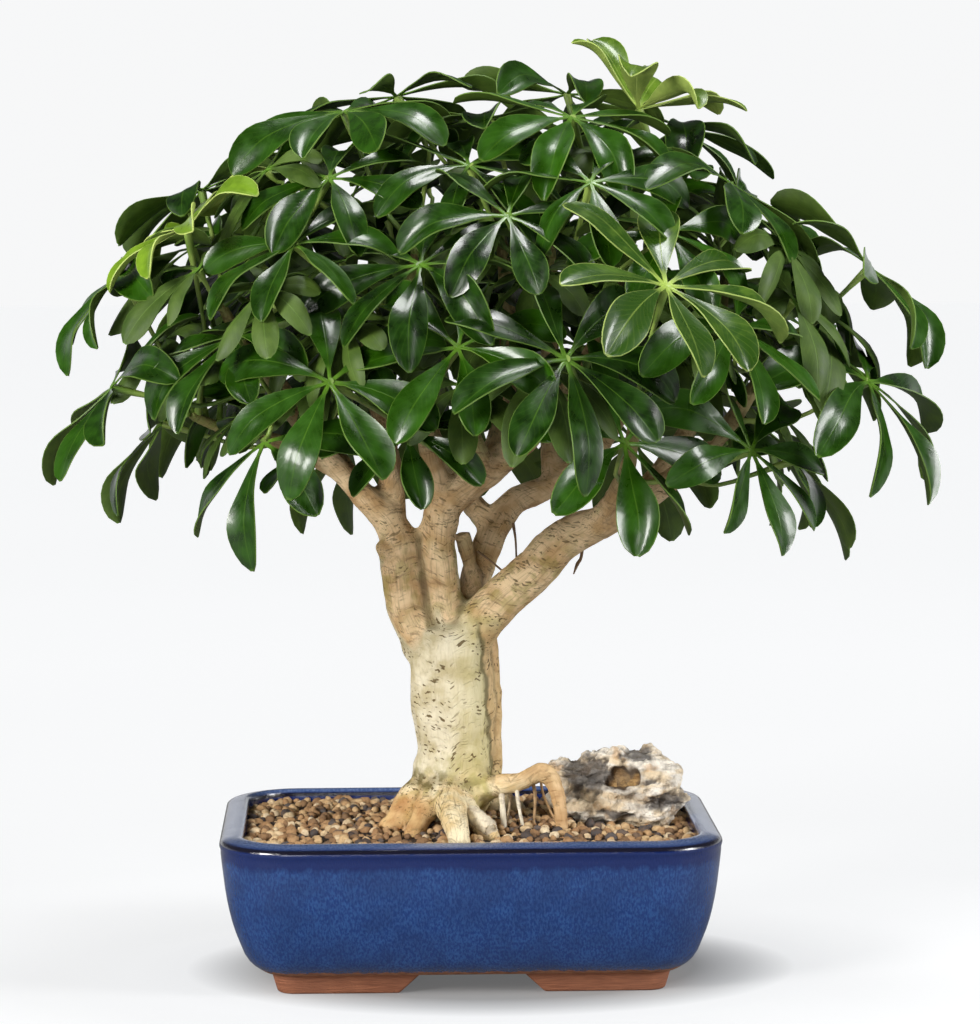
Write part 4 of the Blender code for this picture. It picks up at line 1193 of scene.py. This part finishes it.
def measured_leaf(name):
    """The hub of a CAD leaf, its facing, each leaflet's middle line, and the stalk."""
    bm = bmesh.new()
    bm.from_mesh(frame["nodes"][name].data)
    bmesh.ops.remove_doubles(bm, verts=bm.verts, dist=1e-5)
    bm.verts.ensure_lookup_table()
    points = [v.co.copy() for v in bm.verts]
    count = round((len(points) - 1) / 13)
    tree = search_tree(points)
    crown = min(range(len(points)), key=lambda i: tree.find_n(points[i], 2 * count + 1)[-1][2])
    cluster = {index for _, index, _ in tree.find_n(points[crown], 2 * count + 1)}
    hub = middle_of([points[i] for i in cluster])
    facing = (points[crown] - hub).normalized()
    leaflets = []
    for group in joined_groups(bm, set(range(len(points))) - cluster):
        group.sort(key=lambda p: (p - hub).length)
        if len(group) == 9:
            leaflets.append(read_leaflet(group, hub, facing))
        else:
            stalk = [middle_of(group[:count]), middle_of(group[count:])]
    bm.free()
    return hub, facing, leaflets, stalk


LEAVES = sorted(n for n in frame["nodes"] if n.startswith("leaf_"))
read = {name: measured_leaf(name) for name in LEAVES}
print("leaves:", len(read), "with", sum(len(r[2]) for r in read.values()), "leaflets")


# %% Leaflet
def outline(t):
    """Half the leaflet's width at a share of its length, from its stem to its blunt tip."""
    if t < 0.09:
        return 0.045 + 0.03 * t
    s = (t - 0.09) / 0.91
    return max(0.047, math.sin(math.pi * min(1.0, s ** 1.42)) ** 0.5 * (0.42 + 0.58 * s ** 0.6) * 0.53)


def closer(share):
    """Rows of the grid set closer together towards the tip, so that it comes out round."""
    return share * (1.45 - 0.45 * share)


def through(points, t, knots=(0.0, 0.26, 0.68, 1.0)):
    """The place at a share t of the curve that passes its points at the knots."""
    total = Vector()
    for i, point in enumerate(points):
        weight = 1.0
        for j, knot in enumerate(knots):
            if j != i:
                weight *= (t - knot) / (knots[i] - knot)
        total += point * weight
    return total


def leaflet(hub, facing, line, chance):
    """One leaflet: a grid bent onto its middle line, given its outline, its fold and its thickness."""
    near, middle, end, side, width = line
    points = (hub + facing * 0.8 * MM, near, middle, end)
    length = (end - hub).length
    fold = chance.uniform(0.0, 0.42)
    dome = chance.uniform(0.2, 0.6)
    lean = chance.uniform(-0.35, 0.35)
    twist = chance.uniform(-0.7, 0.7)
    swing = chance.uniform(-0.09, 0.09) * length
    wave = chance.uniform(0.03, 0.09)
    curl = chance.uniform(0.05, 0.62) * length
    phase = chance.uniform(0, 6.28)
    wide = width * chance.uniform(0.92, 1.06)

    def spot(t):
        drop = facing * curl * max(0.0, t - 0.6) ** 2 * 2.5
        return through(points, t) + side * swing * t * t - drop

    bm = bmesh.new()
    bmesh.ops.create_grid(bm, x_segments=13, y_segments=6, size=0.5)
    uv = bm.loops.layers.uv.new("UVMap")
    for face in bm.faces:
        for loop in face.loops:
            loop[uv].uv = (closer(loop.vert.co.x + 0.5), loop.vert.co.y + 0.5)
    for v in bm.verts:
        t = closer(v.co.x + 0.5)
        across = v.co.y * 2
        along = (spot(min(1.0, t + 0.02)) - spot(max(0.0, t - 0.02))).normalized()
        flat = Matrix.Rotation(lean * min(1.0, 4 * t) + twist * t, 3, along) @ side
        flat = (flat - along * flat.dot(along)).normalized()
        half = outline(t) * wide
        rise = half * (fold * abs(across) - dome * across * across * (0.4 + t))
        rise = rise + half * wave * math.sin(9 * t + phase) * across
        v.co = spot(t) + flat * (half * across) + flat.cross(along) * rise
    bmesh.ops.recalc_face_normals(bm, faces=bm.faces)
    bmesh.ops.solidify(bm, geom=bm.faces[:], thickness=0.5 * MM)
    bmesh.ops.recalc_face_normals(bm, faces=bm.faces)
    return bm


widest = max(range(101), key=lambda t: outline(t / 100))
print("a leaflet is widest at", widest, "percent of its length")

# %% Compound leaf
STALK_WIDTHS = (1.9, 1.5, 1.05, 0.95, 0.9, 0.92, 0.95, 1.0, 1.1, 1.35, 1.75)


def leaf_of(hub, facing, leaflets, stalk, chance, tone):
    """A whole compound leaf: leaflets, hub and stalk."""
    bm = bmesh.new()
    bm.loops.layers.uv.new("UVMap")
    bm.verts.layers.float.new("tone")
    bm.faces.layers.float.new("underside")
    for line in leaflets:
        part = leaflet(hub, facing, line, chance)
        shade = tone + chance.uniform(-0.18, 0.18)
        layer = part.verts.layers.float.new("tone")
        under = part.faces.layers.float.new("underside")
        uv = part.loops.layers.uv["UVMap"]
        for v in part.verts:
            v[layer] = shade
        for face in part.faces:
            corners = [loop[uv].uv for loop in face.loops]
            area = sum(a.x * b.y - b.x * a.y for a, b in zip(corners, corners[1:] + corners[:1]))
            face[under] = 0.0 if area > 1e-6 else 1.0
        pour(part, bm)
    bend, foot = stalk
    neck = hub.lerp(bend, 0.5) - facing * 0.4 * MM
    path = smooth_line([hub + facing * 0.6 * MM, neck, bend, bend.lerp(foot, 0.55), foot], len(STALK_WIDTHS))
    stem_into(bm, path, [width * MM for width in STALK_WIDTHS], 8, tone, 1)
    return bm


print("leaf tools ready, a stalk has", len(STALK_WIDTHS), "rings")

# %% [markdown]
# ## Leaf finishes
#
# An old leaf is deep green and glossy, with a pale midrib that fades towards the tip, faint side veins
# and a thin pale margin. Its underside is duller and lighter: partly its own paler green, and partly
# painted light that shines through the leaf. A young leaf is yellow-green all over. The vein pattern is
# drawn on the leaflet's own map, where one direction runs along the midrib, so it bends with the leaflet.

# %% Leaf veins
TURN = 6.283
veins, given, mask = new_group("Leaf veins", Rib=0.035, Veins=13.0)
along, across = (veins.axis(given["Vector"], letter) for letter in "XY")
off = veins.apart(across, 0.5)
rib = veins.times(veins.between(off, given["Rib"], 0.004), veins.between(along, 0.98, 0.15, 0.25, 1.0))
slant = veins.minus(along, veins.times(off, 0.55))
waves = veins.maths("SINE", veins.times(slant, given["Veins"], TURN))
veins.join(veins.maths("MAXIMUM", rib, veins.between(waves, 0.8, 1.0, 0.0, 0.12)), mask)
print("veins drawn")


# %% Leaf blades and stalks
def blade_finish(name, dark, light, under_dark, under_light, rib_colour, margin):
    blade = Finish(name)
    spread = blade.node("UVMap", uv_map="UVMap").outputs[0]
    along, across = (blade.axis(spread, letter) for letter in "XY")
    under = blade.own("underside")
    vein = blade.effect(veins, spread, 0.03, 12.0)
    rim = blade.maths("MAXIMUM", blade.apart(across, 0.5), blade.minus(along, 0.5))
    rim = blade.between(rim, 0.482, 0.496)
    stem = blade.between(along, 0.16, 0.05)
    patch = blade.effect(mottle, blade.place(), 7.0, 4.0, 0.3, 0.7)
    share = blade.maths("ADD", blade.times(patch, 0.4), blade.times(blade.own("tone"), 0.6), clamp=True)
    top = blade.tinted(blade.blend(share, srgb(*dark), srgb(*light)), (vein, 0.55, srgb(*rib_colour)))
    # The underside's colours are partly its own paler green and partly painted light, as if light shone
    # through the leaf.
    below = blade.blend(share, srgb(*under_dark), srgb(*under_light))
    colour = blade.blend(under, top, blade.tinted(below, (vein, 0.6, srgb(*margin))))
    colour = blade.tinted(colour, (rim, 0.42, srgb(*margin)), (stem, 0.9, srgb(*rib_colour)))
    rough = blade.plus(blade.between(patch, 0.0, 1.0, 0.26, 0.38), blade.times(under, 0.25))
    pucker = blade.effect(mottle, blade.place(), 3.4, 2.0, 0.2, 0.8)
    sunk_veins = blade.bump(blade.times(vein, -1.0), 0.35, 0.0003)
    blade.surface(Base_Color=colour, Roughness=rough, Specular_IOR_Level=0.38,
                  Coat_Weight=blade.between(under, 0.0, 1.0, 0.22, 0.0), Coat_Roughness=0.12,
                  Normal=blade.bump(pucker, 0.07, 0.0004, sunk_veins))
    return blade.material


old_blade = blade_finish("leaf_blade", (2, 18, 0), (44, 88, 5), (46, 70, 18), (88, 112, 40),
                         (88, 128, 34), (104, 138, 52))
young_blade = blade_finish("young_leaf_blade", (40, 70, 14), (116, 150, 34), (98, 122, 52), (168, 186, 92),
                           (160, 184, 84), (186, 204, 112))
stalk_green = Finish("leaf_stalk")
ages = stalk_green.effect(mottle, stalk_green.place(), 16.0, 3.0, 0.35, 0.65)
specks = stalk_green.effect(flecks, stalk_green.place(), 1.1, 0.2)
colour = stalk_green.blend(ages, srgb(84, 116, 40), srgb(142, 166, 78))
stalk_green.surface(Base_Color=stalk_green.tinted(colour, (specks, 0.3, srgb(176, 186, 120))),
                    Roughness=stalk_green.between(ages, 0.0, 1.0, 0.38, 0.52),
                    Normal=stalk_green.bump(specks, 0.3, 0.0002))
print("leaf finishes ready")

# %% Measured leaves
INTO_WOOD = 2.2
OLD_TONES = (0.05, 0.8)
YOUNG_TONE = -0.4
OTHER_YOUNG_TONES = {"leaf_left_1": 0.95, "leaf_right_top_1": 0.4}
slots = {entry["node"]: entry["material_slot"] for entry in frame["record"]["subparts"]}
for number, name in enumerate(LEAVES):
    hub, facing, leaflets, (bend, foot) = read[name]
    chance = random.Random(100 + number)
    young = slots[name] == "young_leaf"
    tone = chance.uniform(*OLD_TONES)
    if young:
        tone = OTHER_YOUNG_TONES.get(name, YOUNG_TONE)
    stalk = bend, foot + (foot - bend).normalized() * INTO_WOOD * MM
    bm = leaf_of(hub, facing, leaflets, stalk, chance, tone)
    blade = young_blade if young else old_blade
    piece = new_object("compound_" + name, bm, blade, stalk_green.material, smooth_angle=55)
    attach(piece, "root")
    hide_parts(name)
print("measured leaves built:", len(LEAVES))

# %% [markdown]
# ## Small leaves inside the crown
#
# Between the measured leaves, the real crown is full of smaller ones that sit lower on the twigs and
# leave no view through it. They are grown here: many places inside the crown are tried, and a leaf stays
# only where most of its leaflets clear the wood and every leaf before it.

# %% Growing tools
def faces_tree(meshes):
    """One search tree over several meshes."""
    points, faces = [], []
    for mesh in meshes:
        start = len(points)
        points += [v.co.copy() for v in mesh.vertices]
        faces += [tuple(start + i for i in p.vertices) for p in mesh.polygons]
    return BVHTree.FromPolygons(points, faces)


def clear_of(trees, points, gap):
    """Whether a line of points passes every surface at some distance."""
    for a, b in zip(points, points[1:]):
        step = b - a
        for tree in trees:
            if tree.ray_cast(a, step.normalized(), step.length + gap)[0] is not None:
                return False
    return True


def arching_line(hub, facing, outward, length, width, droop):
    """The middle line of a leaflet that arches down, and its side."""
    def spot(t):
        return hub + outward * length * t * (1 - 0.1 * t) - Vector((0, 0, 1)) * length * droop * t * t
    return spot(0.26), spot(0.68), spot(1.0), outward.cross(facing).normalized(), width


wood_leaves = [faces_tree([bpy.data.objects["compound_" + n].data for n in LEAVES]), faces_tree([wood.data])]
print("surfaces to keep clear of:", len(wood_leaves))

# %% Grown leaves
SMALL_LEAVES = 88
TRIES = 3600
CAD_LOW, CAD_HIGH = (Vector(c) for c in CAD_BOX)
CROWN_MIDDLE = Vector(((CAD_LOW.x + CAD_HIGH.x) / 2, (CAD_LOW.y + CAD_HIGH.y) / 2, 0.245))
CROWN_REACH = Vector((0.146, 0.112, 0.112))
HUB_GAP = 21 * MM


def grown_lines(hub, facing, trees):
    """The middle lines of a small leaf's leaflets that have room, or nothing if they are too few."""
    count = chance.choice((6, 7, 7, 8))
    length = chance.uniform(30, 47) * MM
    first = facing.orthogonal().normalized()
    start = chance.uniform(0, 6.28)
    lines = []
    for k in range(count):
        spread = Matrix.Rotation(start + k * 2 * math.pi / count, 3, facing) @ first
        away = (spread + facing * chance.uniform(0.0, 0.3)).normalized()
        size = length * chance.uniform(0.8, 1.0)
        width = size * chance.uniform(0.36, 0.42)
        line = arching_line(hub, facing, away, size, width, chance.uniform(0.25, 0.5))
        near, middle, end, side, width = line
        edge = side * width * 0.42
        tracks = ([hub.lerp(near, 0.4), near, middle, end], [near + edge * 0.5, middle + edge, end],
                  [near - edge * 0.5, middle - edge, end], [middle + edge, middle - edge])
        if end.z <= CAD_HIGH.z - 2 * MM and all(clear_of(trees, t, 1 * MM) for t in tracks):
            lines.append(line)
    return lines if len(lines) >= max(4, count - 2) else None


twigs = [v.co.copy() for v in wood.data.vertices if v.co.z > 0.15]
twig_tree = search_tree(twigs)
chance = random.Random(12)
trees = list(wood_leaves)
hubs = [read[n][0] for n in LEAVES]
grown = []
for attempt in range(TRIES):
    if len(grown) >= SMALL_LEAVES:
        break
    ball = Vector([chance.gauss(0, 1) for _ in range(3)]).normalized() * chance.uniform(0.35, 1.0)
    hub = CROWN_MIDDLE + Vector([b * r for b, r in zip(ball, CROWN_REACH)])
    if hub.z < 0.222 + 0.05 * max(0.0, 1 - (hub.xy - CROWN_MIDDLE.xy).length / 0.1):
        continue
    if min((hub - h).length for h in hubs) < HUB_GAP:
        continue
    foot, _, far = twig_tree.find(hub - Vector((0, 0, 0.02)))
    if far > 75 * MM or far < 12 * MM or foot.z > hub.z - 4 * MM:
        continue
    upward = Vector((chance.uniform(-0.25, 0.25), chance.uniform(-0.25, 0.25), 0.75))
    facing = (Vector((ball.x, ball.y, 0)) * 0.75 + upward).normalized()
    lines = grown_lines(hub, facing, trees)
    bend = hub - facing * 9 * MM
    if not lines or not clear_of(trees[:1] + trees[2:], [hub - facing * MM, bend, foot], 0):
        continue
    stalk = bend, foot - (bend - foot).normalized() * 1.0 * MM
    bm = leaf_of(hub, facing, lines, stalk, random.Random(900 + attempt), chance.uniform(0.0, 0.45))
    mesh = as_mesh(bm)
    trees.append(faces_tree([mesh]))
    hubs.append(hub)
    grown.append(mesh)
print("grown leaves:", len(grown))

# %% Inner leaves as pieces
GROUP = 8
for number in range(0, len(grown), GROUP):
    bm = bmesh.new()
    for mesh in grown[number:number + GROUP]:
        bm.from_mesh(mesh)
    name = f"inner_leaves_{number // GROUP + 1}"
    piece = new_object(name, bm, old_blade, stalk_green.material, smooth_angle=55)
    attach(piece, "root")
print("inner leaves in", math.ceil(len(grown) / GROUP), "groups")

# %% [markdown]
# ## Size
#
# The finished tree must stay inside the measured one, apart from leaves that curl a few millimetres past
# it. Its box is set beside the measured box, and the whole tree's size is printed.

# %% The two boxes
size = {"cad_box": [list(c) for c in CAD_BOX], "visual_box": [list(c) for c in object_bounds()]}
print("the whole tree now measures", [round(1000 * (b - a)) for a, b in zip(*size["visual_box"])], "mm")
